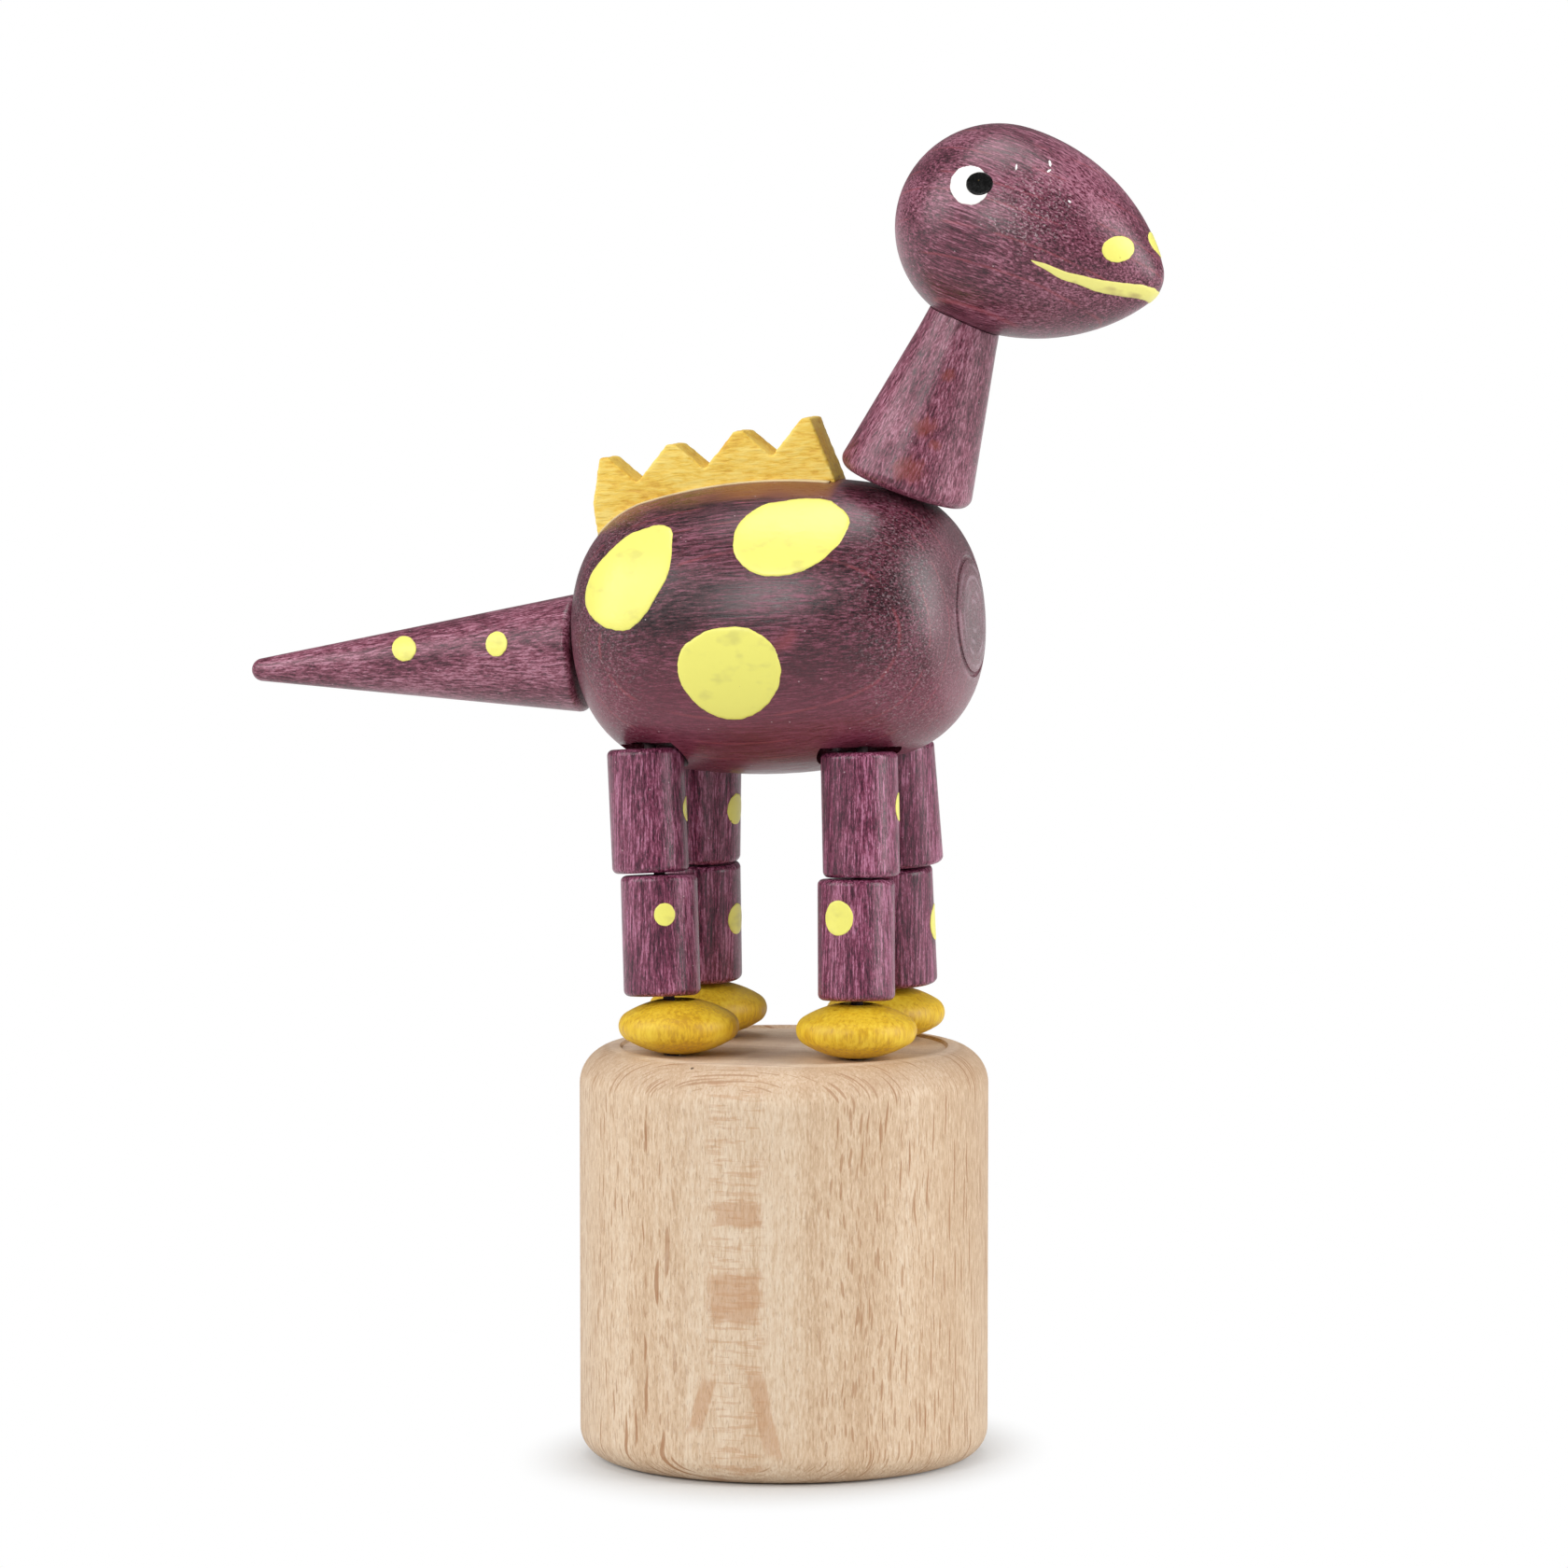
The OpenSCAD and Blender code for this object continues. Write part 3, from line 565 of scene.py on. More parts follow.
def body_ends(finish):
    """One towards the ends of the body, and little between them"""
    onward = finish.math("ABSOLUTE", finish.dot(finish.from_point(BODY_MIDDLE), BODY_AXIS))
    return finish.band(onward, 6.5 * MM, 11 * MM, 0.1, 1.0)


def dusty_ends(finish, colour, wood):
    """Pale dust in the rough end grain of the body"""
    grit = finish.noise(finish.scaled(wood, 7.0, 7.0, 5.0), 3.0, 0.7)
    share = finish.product(body_ends(finish), finish.band(grit, 0.52, 0.68, 0.0, 0.48))
    return finish.mix(share, colour, paint("#b9a2a8"))


def body_rings(finish, colour, wood):
    return ring_lines(finish, colour, wood, LATERAL, 1.7, BODY_MIDDLE)


def head_rings(finish, colour, wood):
    return ring_lines(finish, colour, wood, (0.9 * HEAD_UP + 0.45 * LATERAL).normalized(), 2.2, HEAD_MIDDLE)


# Places on the neck that the stain missed: photograph pixels and radius
NECK_FLECKS = ((992, 458, 17), (975, 504, 20), (1017, 402, 9), (1003, 476, 8))
# The painted highlight on the cheek, speckled along the grain: photograph pixels and radius
CHEEK_HIGHLIGHT = (1105, 222, 62)


def near_pixel(finish, node, x, y, radius, wood):
    """One at a photograph pixel's place on a node, falling to zero round it with an uneven edge"""
    middle, _ = seen(surface(node), x, y)
    away = finish.node("ShaderNodeVectorMath", {0: finish.from_point(middle)}, 1, operation="LENGTH")
    edge = finish.noise(finish.scaled(wood, 1.6, 1.6, 0.9), 3.0, 0.6)
    return finish.band(finish.sum((away, 1 / (radius * PIXEL)), (edge, 1.6)), 1.8, 1.1)


def bare_flecks(finish, colour, wood):
    """Small places that the stain missed"""
    for x, y, radius in NECK_FLECKS:
        share = finish.math("MULTIPLY", near_pixel(finish, "neck", x, y, radius, wood), 0.5)
        colour = finish.mix(share, colour, paint("#8f4436"))
    return colour


def painted_cheek_highlight(finish, colour, wood):
    """A painted highlight on the cheek, broken into pale specks along the raised grain"""
    spread = near_pixel(finish, "head", *CHEEK_HIGHLIGHT, wood)
    grit = finish.noise(finish.scaled(wood, 7.0, 7.0, 5.0), 3.0, 0.7)
    share = finish.product(spread, finish.band(grit, 0.52, 0.66, 0.0, 0.8))
    return finish.mix(share, colour, paint("#b9a2a8"))


STAIN = ("#1e0610", "#401521", "#582332", "#84495d")
HEAD_STAIN = ("#34101e", "#602a3c", "#7c4054", "#ad7488")
NECK_STAIN = ("#401525", "#703548", "#884a5e", "#b67e92")
LEG_STAIN = ("#350e22", "#672842", "#823c58", "#b87896")
FOOT_STAIN = ("#c59516", "#deb21d", "#edca38")
CREST_STAIN = ("#dfab34", "#f5cc4e", "#fbdf78")
LEMON = brushed_paint("lemon_paint", "#f0eb74", "#d6d06c", 0.34, 0.7)
WHITE = brushed_paint("white_paint", "#f6f5f2", "#e4e2dc", 0.35, 0.3)
BLACK = brushed_paint("black_paint", "#060606", "#121112", 0.24, 0.7, 0.2)
CREAM = brushed_paint("bare_wood_edge", "#e2cb9a", "#c9ab74", 0.6, 0.6)
MOUTH_PAINT = brushed_paint("mouth_paint", "#f0ea86", "#b8a568", 0.36, 0.8)
CORD = cord_thread()


def assign(node, material):
    slots = nodes[node].data.materials
    slots.clear()
    slots.append(material)


def finish_nodes():
    assign("base", beech("base_beech", 1, (base_figure,)))
    assign("push_button", beech("button_beech", 2))
    marks = (lit_belly, body_rings, dusty_ends, bare_band, chest_rings)
    assign("body", stained_wood("body_stain", BODY_AXIS, 1, STAIN, marks, body_ends))
    assign("head", stained_wood("head_stain", HEAD_AXIS, 3, HEAD_STAIN, (head_rings, painted_cheek_highlight)))
    assign("tail", stained_wood("tail_stain", BODY_AXIS, 4, NECK_STAIN))
    peg = beech("peg_beech", 3)
    assign("head_peg", peg)
    assign("tail_peg", peg)
    for count, side in enumerate(SIDES):
        assign(f"{side}_foot", yellow_wood(f"{side}_foot_stain", UP, count + 1, FOOT_STAIN, 0.8, 0.03))
        for step, part in enumerate(("lower_leg", "upper_leg")):
            wood = stained_wood(f"{side}_{part}_stain", UP, 5 + 2 * count + step, LEG_STAIN)
            assign(f"{side}_{part}", wood)


# Surfaces that marks are painted on
SURFACES = {}


def surface(node):
    if node not in SURFACES:
        mesh = nodes[node].data
        places = [vertex.co for vertex in mesh.vertices]
        SURFACES[node] = BVHTree.FromPolygons(places, [face.vertices for face in mesh.polygons])
    return SURFACES[node]


def seen(tree, x, y):
    """Where a pixel of the photograph falls on a surface: the place and the outward direction"""
    right, down = Vector((x, y)) - PHOTO_MIDDLE
    way = VIEW_TARGET + PIXEL * (right * VIEW_RIGHT - down * VIEW_UP) - EYE_POINT
    place, normal, _, _ = tree.ray_cast(EYE_POINT, way.normalized())
    return place, normal


def below(tree, place, normal):
    """Where a point above a surface falls on it, straight down"""
    reach = 4 * MM
    hit, facing, _, _ = tree.ray_cast(place + reach * normal, -normal)
    return hit, facing


def new_piece(name, vertices, faces, material, body, smooth=True):
    mesh = bpy.data.meshes.new(name)
    mesh.from_pydata([tuple(v) for v in vertices], [], faces)
    mesh.materials.append(material)
    made = bmesh.new()
    made.from_mesh(mesh)
    bmesh.ops.recalc_face_normals(made, faces=made.faces)
    made.to_mesh(mesh)
    made.free()
    for face in mesh.polygons:
        face.use_smooth = smooth
    piece = bpy.data.objects.new(name, mesh)
    bpy.context.scene.collection.objects.link(piece)
    if body:
        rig.ride(piece, body)
    return piece


SKIN_RINGS = (0.16, 0.32, 0.48, 0.64, 0.78, 0.88, 0.945, 0.98, 1.0)
SKIN_SINK = 0.04 * MM


def skin_height(share):
    """Paint lies flat, thickens towards its edge and rounds off at it"""
    return (0.75 + 0.45 * share ** 6) * math.sqrt(max(0.0, 1 - share ** 14))


def skin(name, sample, steps, thickness, material, body):
    """A closed drop of paint; sample(share, step) gives a place on the surface and its outward direction"""
    rows = [[sample(share, step) for step in range(steps)] for share in SKIN_RINGS]
    middle, normal = sample(0, 0)
    vertices = [middle + thickness * skin_height(0) * normal]
    faces = []
    for share, row in zip(SKIN_RINGS, rows):
        lump = thickness * skin_height(share)
        vertices += [place + lump * facing for place, facing in row]
    last = len(vertices) - steps
    vertices += [place - SKIN_SINK * facing for place, facing in rows[-1]]
    vertices.append(middle - SKIN_SINK * normal)
    for step in range(steps):
        beside = (step + 1) % steps
        faces.append((0, 1 + step, 1 + beside))
        for ring in range(len(rows)):
            a = 1 + ring * steps
            faces.append((a + step, a + steps + step, a + steps + beside, a + beside))
        low = last + steps
        faces.append((low + step, len(vertices) - 1, low + beside))
    return new_piece(name, vertices, faces, material, body)


def curve_point(a, b, c, d, t):
    """A place on the smooth curve from b to c that also heeds the points beside them"""
    slope = c - a
    bend = 2 * a - 5 * b + 4 * c - d
    twist = 3 * b - a - 3 * c + d
    return 0.5 * (2 * b + slope * t + bend * t ** 2 + twist * t ** 3)


def rounded(points, steps):
    """A smooth closed line through points given in order"""
    count = len(points)
    line = []
    for step in range(steps):
        place = step * count / steps
        i = int(place)
        line.append(curve_point(*(Vector(points[(i + k) % count]) for k in (-1, 0, 1, 2)), place - i))
    return line


def eased(points, steps):
    """A smooth open line through points, with the same number of steps between each pair"""
    last = len(points) - 1
    line = []
    for i in range(last):
        near = [Vector(points[min(max(i + k, 0), last)]) for k in (-1, 0, 1, 2)]
        line += [curve_point(*near, step / steps) for step in range(steps)]
    line.append(Vector(points[-1]))
    return line


def ragged(step, steps, seed, amount):
    """How far the brush left the outline at this step, as a share of its size"""
    turn = 2 * math.pi * step / steps
    spot = Vector((3 * math.cos(turn), 3 * math.sin(turn), seed))
    return 1 + amount * (noise.noise(spot) + 0.8 * noise.noise(3.1 * spot))


def mirrored(place, middle, across):
    return place - 2 * (place - middle).dot(across) * across


def photo_spot(name, node, outline, thickness, material, mirror=None, amount=0.015, steps=72):
    """Paint inside an outline of photograph pixels, and its twin on the other side if a mirror is given"""
    tree = surface(node)
    line = rounded(outline, steps)
    middle = sum(line, Vector((0, 0))) / steps
    for side in ("near", "far") if mirror else ("near",):
        def sample(share, step):
            edge = (line[step] - middle) * share * ragged(step, steps, len(name), amount)
            place, normal = seen(tree, *(middle + edge))
            if side == "near":
                return place, normal
            hit, outward, _, _ = tree.find_nearest(mirrored(place, *mirror))
            return hit, outward
        skin(f"{name}_{side}", sample, steps, thickness, material, node)


def oval(x, y, wide, high, turn=0.0, points=12):
    """An oval outline of photograph pixels"""
    lean = math.radians(turn)
    line = []
    for count in range(points):
        angle = 2 * math.pi * count / points
        a, b = wide * math.cos(angle), high * math.sin(angle)
        line.append((x + a * math.cos(lean) - b * math.sin(lean),
                     y + a * math.sin(lean) + b * math.cos(lean)))
    return line


LEG_RADIUS = 2.8 * MM


def leg_spot(name, node, turn, height, wide, high, steps=48):
    """A dab of paint on the side of a bead, turned from the photograph's view and up from the bead's foot"""
    tree = surface(node)
    middle = box_middle(node)
    facing = VIEW_AZIMUTH - math.pi / 2 + math.radians(turn)
    out = Vector((math.cos(facing), math.sin(facing), 0))
    beside = UP.cross(out)
    centre = Vector((middle.x, middle.y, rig.box(node)[0].z + height * MM))

    def sample(share, step):
        angle = 2 * math.pi * step / steps
        size = share * ragged(step, steps, len(name), 0.025)
        bend = size * wide * MM * math.cos(angle) / LEG_RADIUS
        way = math.cos(bend) * out + math.sin(bend) * beside
        spot = centre + size * high * MM * math.sin(angle) * UP
        return below(tree, spot + LEG_RADIUS * way, way)
    skin(name, sample, steps, DAB_DEPTH, LEMON, node)


# Outlines of the paint in photograph pixels
SPOT_A = ((716, 564), (722, 577), (716, 615), (699, 648), (684, 668), (668, 676), (644, 669), (629, 650),
          (631, 622), (649, 596), (674, 574), (699, 564))
SPOT_B = ((872, 534), (896, 539), (910, 557), (904, 577), (878, 603), (846, 616), (812, 615), (791, 599),
          (786, 578), (797, 556), (820, 541), (846, 536))
SPOT_C = ((780, 672), (808, 675), (828, 692), (837, 712), (834, 739), (815, 762), (788, 771), (761, 764),
          (737, 744), (727, 717), (733, 694), (754, 678))
TAIL_SPOT_A = oval(434, 695, 13, 13.5)
TAIL_SPOT_B = oval(533, 690, 11.5, 13.5, 10)
NOSTRIL = oval(1199, 267, 17.5, 14, -10)
EYE_WHITE = oval(1040, 198.5, 21, 21)
EYE_PUPIL = oval(1050.5, 197, 14.5, 12.5, -8)

# How thick the paint lies
SPOT_DEPTH = 0.09 * MM
DAB_DEPTH = 0.06 * MM
EYE_DEPTH = 0.05 * MM
PUPIL_DEPTH = 0.1 * MM
CHIP_DEPTH = 0.02 * MM
MOUTH_DEPTH = 0.05 * MM
GLUE_DEPTH = 0.1 * MM

# Each leg spot: turn from the view, height above the bead's foot, half width and half height
LEG_SPOTS = {
    "rear_right_lower_leg": (7.5, 6.35, 0.82, 0.83), "front_right_lower_leg": (-30, 6.35, 1.2, 1.27),
    "rear_left_lower_leg": (63, 4.8, 1.1, 1.15), "front_left_lower_leg": (87, 4.8, 1.3, 1.35),
    "rear_right_upper_leg": (90, 4.85, 1.1, 0.92), "front_right_upper_leg": (88, 5.25, 1.05, 1.05),
    "rear_left_upper_leg": (63, 4.1, 1.1, 1.15), "front_left_upper_leg": (150, 5.0, 1.1, 1.15)}


# Small white chips in the stain of the head
CHIPS = {"chip_a": oval(1090, 179, 1.0, 3.2, 8, 8), "chip_b": oval(1126, 175, 1.2, 3.4, -10, 8),
         "chip_c": oval(1125, 183, 2.4, 1.1, -35, 8), "chip_d": oval(1147, 216, 1.8, 1.0, 40, 8)}


def paint_spots():
    for name, outline in (("body_spot_a", SPOT_A), ("body_spot_b", SPOT_B), ("body_spot_c", SPOT_C)):
        photo_spot(name, "body", outline, SPOT_DEPTH, LEMON, BODY_MIRROR, 0.02, 120)
    photo_spot("tail_spot_a", "tail", TAIL_SPOT_A, DAB_DEPTH, LEMON, BODY_MIRROR, 0.03)
    photo_spot("tail_spot_b", "tail", TAIL_SPOT_B, DAB_DEPTH, LEMON, BODY_MIRROR, 0.03)
    photo_spot("nostril", "head", NOSTRIL, DAB_DEPTH, LEMON, FACE_MIRROR, 0.03)
    photo_spot("eye_white", "head", EYE_WHITE, EYE_DEPTH, WHITE, FACE_MIRROR, 0.03)
    photo_spot("eye_pupil", "head", EYE_PUPIL, PUPIL_DEPTH, BLACK, FACE_MIRROR, 0.01)
    for name, outline in CHIPS.items():
        photo_spot(name, "head", outline, CHIP_DEPTH, WHITE, None, 0.35, 24)
    for node, place in LEG_SPOTS.items():
        leg_spot(f"{node}_spot", node, *place)


# A stroke of paint along a line on a surface
STROKE_ACROSS = (-1.0, -0.94, -0.75, -0.4, 0.0, 0.4, 0.75, 0.94, 1.0)


def stroke(name, node, line, thickness, material):
    """A closed stroke; line holds places and half widths, and each place is brought down onto the surface"""
    tree = surface(node)
    vertices = []
    count = len(line)
    for i, (place, half) in enumerate(line):
        way = line[min(i + 1, count - 1)][0] - line[max(i - 1, 0)][0]
        hit, normal, _, _ = tree.find_nearest(place)
        beside = normal.cross(way).normalized()
        tops, feet = [], []
        for share in STROKE_ACROSS:
            spot, facing, _, _ = tree.find_nearest(hit + share * half * beside)
            lump = thickness * math.sqrt(max(0.0, 1 - share ** 8))
            tops.append(spot + lump * facing)
            feet.append(spot - SKIN_SINK * facing)
        vertices += tops + feet[::-1]
    return new_piece(name, vertices, tube_faces(count, 2 * len(STROKE_ACROSS)), material, node)


def tube_faces(count, ring):
    """Faces of a closed tube of so many rings, each of so many points"""
    faces = [tuple(range(ring)), tuple(range((count - 1) * ring, count * ring))]
    for i in range(count - 1):
        for k in range(ring):
            beside = (k + 1) % ring
            faces.append((i * ring + k, (i + 1) * ring + k, (i + 1) * ring + beside, i * ring + beside))
    return faces


# The mouth's middle line and width in photograph pixels, from the cheek to the snout
MOUTH = ((1106, 279, 1.0), (1112, 282, 3.5), (1122, 286, 6), (1140, 295, 9), (1158, 300, 10.5),
         (1177, 306, 13.5), (1196, 309.5, 15.5), (1214, 312, 16.5), (1228, 313, 16.5))
# How far from the middle of the face the mouth starts to turn round the snout
MOUTH_TURN = 0.5 * MM


def paint_mouth():
    tree = surface("head")
    near = []
    for x, y, width in eased(MOUTH, 8):
        place, _ = seen(tree, x, y)
        wave = 1 + 0.07 * noise.noise(Vector((x / 9, y / 9, 0)))
        near.append((place, width * wave * PIXEL / 2))
    near = [entry for entry in near if (entry[0] - HEAD_MIDDLE).dot(FACE_LATERAL) < -MOUTH_TURN]
    far = [(mirrored(place, *FACE_MIRROR), half) for place, half in reversed(near)]
    lip = [(place, near[-1][1]) for place in straight(near[-1][0], far[0][0], 6)[1:-1]]
    stroke("mouth", "head", near + lip + far, MOUTH_DEPTH, MOUTH_PAINT)


# Half the crest's thickness, how far short of its ends the glue stops behind and ahead, how far aside the
# glue's middle lies, and how far above the crest the search for the back starts
CREST_HALF = 1.6 * MM
GLUE_BEHIND = 0.6 * MM
GLUE_AHEAD = 0.45 * MM
GLUE_ASIDE = 0.12 * MM
GLUE_ABOVE = 5 * MM


def glue_lines():
    """A pale line of bare edge and glue where the crest enters the back, on both sides"""
    low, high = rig.box("back_crest")
    tree = surface("body")
    steps = 60
    for side, name in ((-1, "crest_glue_right"), (1, "crest_glue_left")):
        line = []
        for step in range(steps + 1):
            share = step / steps
            onward = (low.x + GLUE_BEHIND) * (1 - share) + (high.x - GLUE_AHEAD) * share
            start = Vector((onward, BODY_MIDDLE.y, high.z + GLUE_ABOVE))
            start += side * (CREST_HALF + GLUE_ASIDE) * LATERAL
            start.y += (onward - BODY_MIDDLE.x) * FORWARD.y / FORWARD.x
            place, _, _, _ = tree.ray_cast(start, -UP)
            wide = 0.11 + 0.22 * share ** 3 + 0.05 * noise.noise(Vector((onward / MM, side, 0)))
            line.append((place, wide * MM))
        stroke(name, "body", line, GLUE_DEPTH, CREAM)


CREST_WELD = 0.001 * MM
CREST_VOXEL = 0.13 * MM
CREST_FIBRE = 0.045 * MM


def make_crest():
    """The crest, with its sawn edges worn round and its fibres raised"""
    made = bmesh.new()
    made.from_mesh(nodes["back_crest"].data)
    bmesh.ops.remove_doubles(made, verts=made.verts, dist=CREST_WELD)
    mesh = bpy.data.meshes.new("crest")
    made.to_mesh(mesh)
    made.free()
    crest = bpy.data.objects.new("crest", mesh)
    bpy.context.scene.collection.objects.link(crest)
    remesh = crest.modifiers.new("remesh", "REMESH")
    remesh.mode = "VOXEL"
    remesh.voxel_size = CREST_VOXEL
    smooth = crest.modifiers.new("smooth", "SMOOTH")
    smooth.factor = 0.5
    smooth.iterations = 4
    bpy.context.view_layer.update()
    ready = crest.evaluated_get(bpy.context.evaluated_depsgraph_get())
    crest.data = bpy.data.meshes.new_from_object(ready)
    crest.modifiers.clear()
    for vertex in crest.data.vertices:
        spot = vertex.co / MM
        fibre = noise.noise(Vector((0.8 * spot.x + 0.3 * spot.z, 2.0 * spot.y, 2.8 * spot.z)))
        vertex.co += CREST_FIBRE * fibre * vertex.normal
    for face in crest.data.polygons:
        face.use_smooth = True
    crest.data.materials.clear()
    crest.data.materials.append(yellow_wood("crest_stain", BODY_AXIS, 9, CREST_STAIN, 0.9, 0.07))
    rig.replaces(crest, "back_crest")
    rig.slot(crest, "yellow_paint")
    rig.ride(crest, "body")


# The rim of the neck's cup: the gap left to the head, and the height and radius that it lies beyond
RIM_GAP = 0.06 * MM
RIM_HEIGHT = 12.2 * MM
RIM_RADIUS = 2.3 * MM


def make_neck():
    """The neck, whose thin rim stands up close to the head"""
    mesh = nodes["neck"].data.copy()
    mesh.name = "neck_wood"
    tree = surface("head")
    for vertex in mesh.vertices:
        place = vertex.co - NECK_FOOT
        height = place.dot(NECK_AXIS)
        radius = (place - height * NECK_AXIS).length
        if height > RIM_HEIGHT and radius > RIM_RADIUS:
            _, _, _, room = tree.ray_cast(vertex.co, NECK_AXIS)
            if room and room > RIM_GAP:
                vertex.co += (room - RIM_GAP) * NECK_AXIS
    mesh.materials.clear()
    mesh.materials.append(stained_wood("neck_stain", NECK_AXIS, 2, NECK_STAIN, (bare_flecks,)))
    neck = bpy.data.objects.new("neck_wood", mesh)
    bpy.context.scene.collection.objects.link(neck)
    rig.replaces(neck, "neck")
    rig.slot(neck, "purple_stain")
    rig.ride(neck, "neck")


# Cords and spring
def tube(name, points, radius, material, sides=12):
    """A closed round tube along points"""
    vertices = []
    count = len(points)
    over = None
    for i, point in enumerate(points):
        way = (points[min(i + 1, count - 1)] - points[max(i - 1, 0)]).normalized()
        if over is None:
            over = way.orthogonal().normalized()
        over = (over - over.dot(way) * way).normalized()
        beside = way.cross(over)
        for k in range(sides):
            turn = 2 * math.pi * k / sides
            vertices.append(point + radius * (math.cos(turn) * over + math.sin(turn) * beside))
    return new_piece(name, vertices, tube_faces(count, sides), material, None)


def straight(start, stop, steps=12):
    return [start.lerp(stop, step / steps) for step in range(steps + 1)]


def cord_piece(name, side, points):
    piece = tube(name, points, CORD_RADIUS, CORD)
    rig.replaces(piece, f"{side}_cord")
    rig.slot(piece, "cord")
    return piece


def bent_cord(name, side, points, first, second):
    """A stretch of cord that bends between two bodies"""
    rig.blend(cord_piece(name, side, points), first, second, points[0], points[-1])


KNOT_SPREAD = 0.3 * MM
KNOT_HEIGHT = 0.75 * MM
KNOT_LIFT = 1.0 * MM
KNOT_STEPS = 96
# Heights between which the lengths of a leg's cord run
BUTTON_RUN = (BUTTON_FACE + 0.9 * MM, WELL_TOP + 1 * MM)
ANKLE_RUN = (27 * MM, 38 * MM)
KNEE_RUN = (40 * MM, 46.5 * MM)
LEG_RUN = (47 * MM, 52 * MM)
HIP_START = 49 * MM
LOOSE_HIP_START = 49.8 * MM
# How far a length runs on past the hip, before the seat of the neck or tail, past that seat, and on each side
# of the neck's top
HIP_REACH = 2.4 * MM
SEAT_BEFORE = 2.2 * MM
SEAT_PAST = 3 * MM
HEAD_REACH = 2.5 * MM


def make_cord(side):
    front = side.startswith("front")
    left = 1 if side.endswith("left") else -1
    hole = Vector((*HOLES[side], 0)) * MM
    foot = hole + DECK_Z * UP
    hip = Vector((*HIPS[side], 0)) * MM + HIP_Z * UP
    aside = left * CORD_ASIDE * LATERAL
    seat = (NECK_FOOT if front else TAIL_ROOT) + aside

    def at(z):
        return foot.lerp(hip, (z - DECK_Z) / (HIP_Z - DECK_Z))

    knot = []
    for step in range(KNOT_STEPS + 1):
        turn = 2 * math.pi * step / KNOT_STEPS
        spread = KNOT_SPREAD * (1.1 + math.cos(3 * turn) * 0.9)
        knot.append(hole + Vector((spread * math.cos(2 * turn), spread * math.sin(2 * turn),
                                   BUTTON_FACE + KNOT_LIFT + KNOT_HEIGHT / 2 * math.sin(3 * turn))))
    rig.ride(cord_piece(f"{side}_cord_knot", side, knot), "push_button")
    rise = straight(*(hole + z * UP for z in BUTTON_RUN), 24)
    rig.ride(cord_piece(f"{side}_cord_button", side, rise), "push_button")
    ankle = straight(hole + ANKLE_RUN[0] * UP, foot, 6) + straight(foot, at(ANKLE_RUN[1]), 18)[1:]
    bent_cord(f"{side}_cord_ankle", side, ankle, "base", f"{side}_lower_leg")
    knee = straight(*map(at, KNEE_RUN))
    bent_cord(f"{side}_cord_knee", side, knee, f"{side}_lower_leg", f"{side}_upper_leg")
    above = straight(hip, hip + HIP_REACH * (seat - hip).normalized(), 6)
    if side == "rear_right":
        onward = straight(at(HIP_START), hip, 8) + above[1:]
        bent_cord(f"{side}_cord_hip", side, onward, f"{side}_upper_leg", "body")
    else:
        onward = straight(at(LOOSE_HIP_START), hip, 8) + above[1:]
        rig.ride(cord_piece(f"{side}_cord_leg", side, straight(*map(at, LEG_RUN))), f"{side}_upper_leg")
        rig.ride(cord_piece(f"{side}_cord_hip", side, onward), "body")
    inward = straight(seat + SEAT_BEFORE * (hip - seat).normalized(), seat, 6)
    if front:
        top = NECK_TOP + aside
        upward = straight(seat, seat + SEAT_PAST * NECK_AXIS, 8)[1:]
        bent_cord(f"{side}_cord_neck", side, inward + upward, "body", "neck")
        upward = straight(top - HEAD_REACH * NECK_AXIS, top + HEAD_REACH * NECK_AXIS)
        bent_cord(f"{side}_cord_head", side, upward, "neck", "head")
    else:
        backward = straight(seat, seat - SEAT_PAST * BODY_AXIS, 8)[1:]
        bent_cord(f"{side}_cord_tail", side, inward + backward, "body", "tail")


SPRING_RADIUS = 6.5 * MM
WIRE_RADIUS = 0.45 * MM
SPRING_CURLS = 6
CLOSED_CURLS = 1
CURL_STEPS = 64
CLOSED_PITCH = 2.1 * WIRE_RADIUS
SPRING_CLEAR = 0.03 * MM


def make_spring():
    """A compression spring whose end curls lie closed"""
    low = BUTTON_TOP + WIRE_RADIUS + SPRING_CLEAR
    high = WELL_TOP - WIRE_RADIUS - SPRING_CLEAR
    closed = CLOSED_CURLS * CLOSED_PITCH
    steps = CURL_STEPS * SPRING_CURLS
    points = []
    for step in range(steps + 1):
        curl = SPRING_CURLS * step / steps
        angle = 2 * math.pi * curl
        if curl < CLOSED_CURLS:
            z = low + closed * curl / CLOSED_CURLS
        elif curl > SPRING_CURLS - CLOSED_CURLS:
            z = high - closed * (SPRING_CURLS - curl) / CLOSED_CURLS
        else:
            share = (curl - CLOSED_CURLS) / (SPRING_CURLS - 2 * CLOSED_CURLS)
            z = low + closed + (high - low - 2 * closed) * share
        points.append(Vector((SPRING_RADIUS * math.cos(angle), SPRING_RADIUS * math.sin(angle), z)))
    spring = tube("spring", points, WIRE_RADIUS, spring_wire(), 14)
    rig.replaces(spring, "return_spring")
    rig.slot(spring, "spring_steel")
    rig.ride(spring, "base")
    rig.squash(spring, "button_press", (0, 0, 1), (0, 0, WELL_TOP),
              1 - BUTTON_TRAVEL / (WELL_TOP - BUTTON_TOP))


# Stage
def make_camera():
    data = bpy.data.cameras.new("camera")
    data.sensor_width = 36
    data.lens = data.sensor_width * VIEW_DISTANCE / (PIXEL * PHOTO_PIXELS)
    data.clip_start = 0.01
    camera = bpy.data.objects.new("camera", data)
    turn = Matrix((VIEW_RIGHT, VIEW_UP, VIEW_BACK)).transposed().to_4x4()
    camera.matrix_world = Matrix.Translation(EYE_POINT) @ turn
    bpy.context.scene.collection.objects.link(camera)
    bpy.context.scene.camera = camera


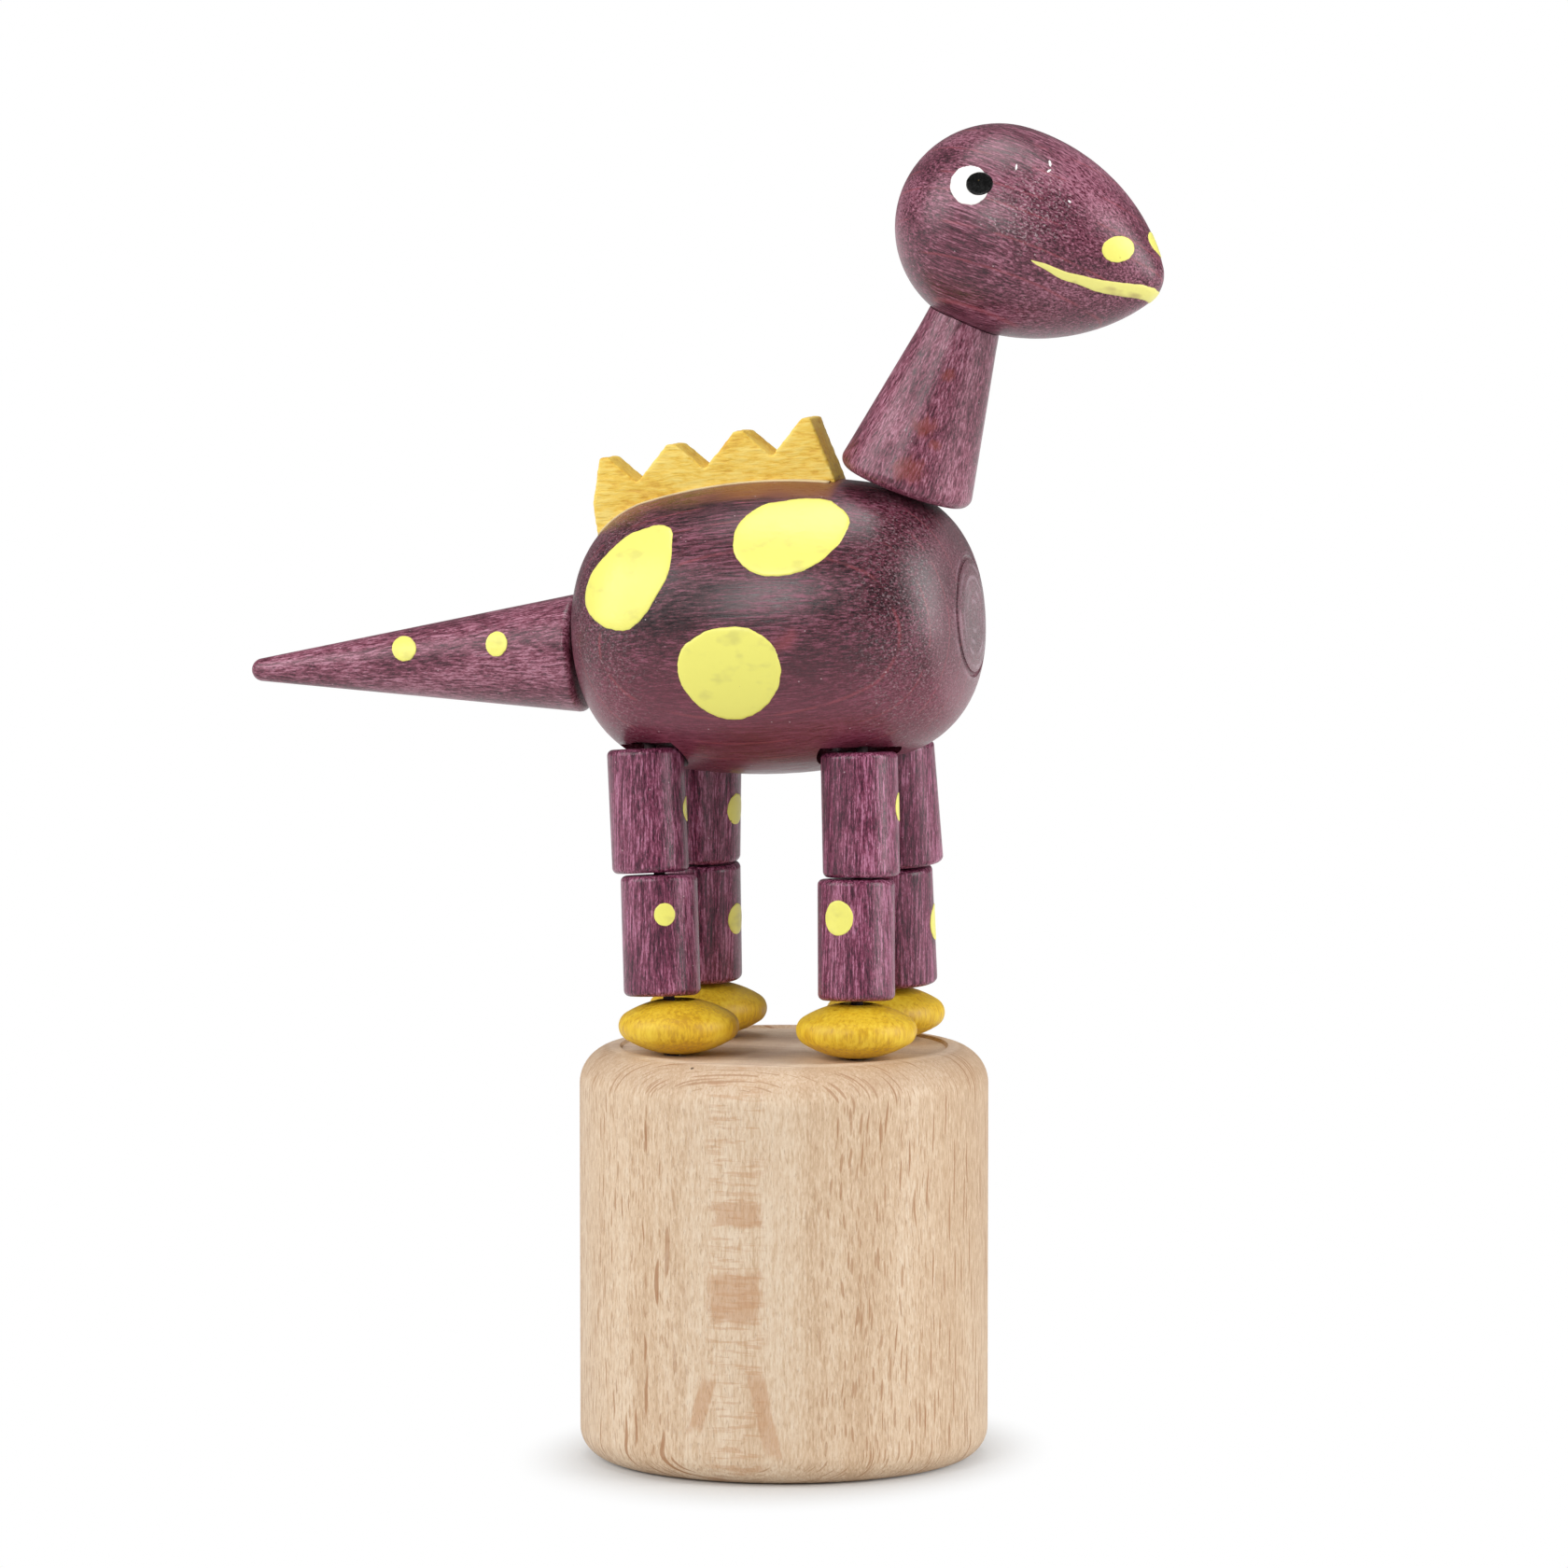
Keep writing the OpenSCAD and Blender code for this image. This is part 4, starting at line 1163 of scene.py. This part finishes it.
FLOOR_SIZE = 6.0
# The shadow reaches less far to the sides than to the front, and fades out between two distances
SHADOW_SHAPE = (1.2, 0.92, 1.0)
SHADOW_NEAR = 12.5 * MM
SHADOW_FAR = 24 * MM


def make_floor():
    """A white sheet that keeps the shadow near the base and turns to plain white further off"""
    corners = [(x * FLOOR_SIZE, y * FLOOR_SIZE, 0) for x, y in ((-1, -1), (1, -1), (1, 1), (-1, 1))]
    finish = Finish("floor")
    finish.set(Base_Color=paint("#cfcecc"), Roughness=0.9, Specular_IOR_Level=0.1)
    path = finish.tree.nodes.new("ShaderNodeLightPath").outputs
    shown = finish.math("MAXIMUM", path["Is Camera Ray"], path["Is Glossy Ray"])
    shown = finish.math("MAXIMUM", shown, path["Is Transmission Ray"])
    away = finish.node("ShaderNodeVectorMath", {0: finish.scaled(finish.place(), *SHADOW_SHAPE)}, 1,
                       operation="LENGTH")
    share = finish.math("MULTIPLY", shown, finish.band(away, SHADOW_NEAR, SHADOW_FAR))
    white = finish.node("ShaderNodeEmission", {"Color": (1, 1, 1, 1), "Strength": 1.0})
    mixed = finish.node("ShaderNodeMixShader", {0: share, 1: finish.surface.outputs[0], 2: white})
    finish.put(finish.tree.nodes["Material Output"].inputs["Surface"], mixed)
    floor = new_piece("floor", corners, [(0, 1, 2, 3)], finish.material, None, smooth=False)
    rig.stage(floor)


AMBIENT = 0.24


def make_world():
    """White where it is seen straight on, and dimmer as a light"""
    world = bpy.data.worlds.new("studio")
    world.use_nodes = True
    bpy.context.scene.world = world
    tree = world.node_tree
    back = tree.nodes["Background"]
    path = tree.nodes.new("ShaderNodeLightPath")
    shown = tree.nodes.new("ShaderNodeMath")
    shown.operation = "MAXIMUM"
    tree.links.new(path.outputs["Is Camera Ray"], shown.inputs[0])
    tree.links.new(path.outputs["Is Transmission Ray"], shown.inputs[1])
    level = tree.nodes.new("ShaderNodeMapRange")
    level.inputs["To Min"].default_value = AMBIENT
    level.inputs["To Max"].default_value = 1.0
    tree.links.new(shown.outputs[0], level.inputs["Value"])
    tree.links.new(level.outputs[0], back.inputs["Strength"])
    back.inputs["Color"].default_value = (1, 1, 1, 1)


def make_lamp(name, place, wide, high, power):
    data = bpy.data.lights.new(name, "AREA")
    data.shape = "RECTANGLE"
    data.size = wide
    data.size_y = high
    data.energy = power
    lamp = bpy.data.objects.new(name, data)
    spot = Vector(place)
    turn = (VIEW_TARGET - spot).to_track_quat("-Z", "Y").to_matrix().to_4x4()
    lamp.matrix_world = Matrix.Translation(spot) @ turn
    bpy.context.scene.collection.objects.link(lamp)


# Each lamp: place, width and height in metres, and power
LAMPS = {
    "left_box": ((-0.60, -0.30, 0.38), 0.45, 0.55, 2.8),
    "right_box": ((0.64, -0.06, 0.30), 0.36, 0.60, 3.9),
    "front_strip": ((-0.16, -0.58, 0.36), 0.18, 0.34, 1.5),
    "top_box": ((-0.05, 0.05, 0.75), 0.45, 0.35, 2.1)}


def make_lamps():
    for name, lamp in LAMPS.items():
        make_lamp(name, *lamp)


bpy.context.scene.view_settings.view_transform = "Standard"
make_camera()
for cord_side in SIDES:
    make_cord(cord_side)
make_spring()
finish_nodes()
make_crest()
make_neck()
paint_spots()
paint_mouth()
glue_lines()
make_floor()
make_world()
make_lamps()

low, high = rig.bounds()
with open("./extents.json", "w") as sizes:
    json.dump({"cad": [list(cad_low), list(cad_high)], "visual": [list(low), list(high)]}, sizes)
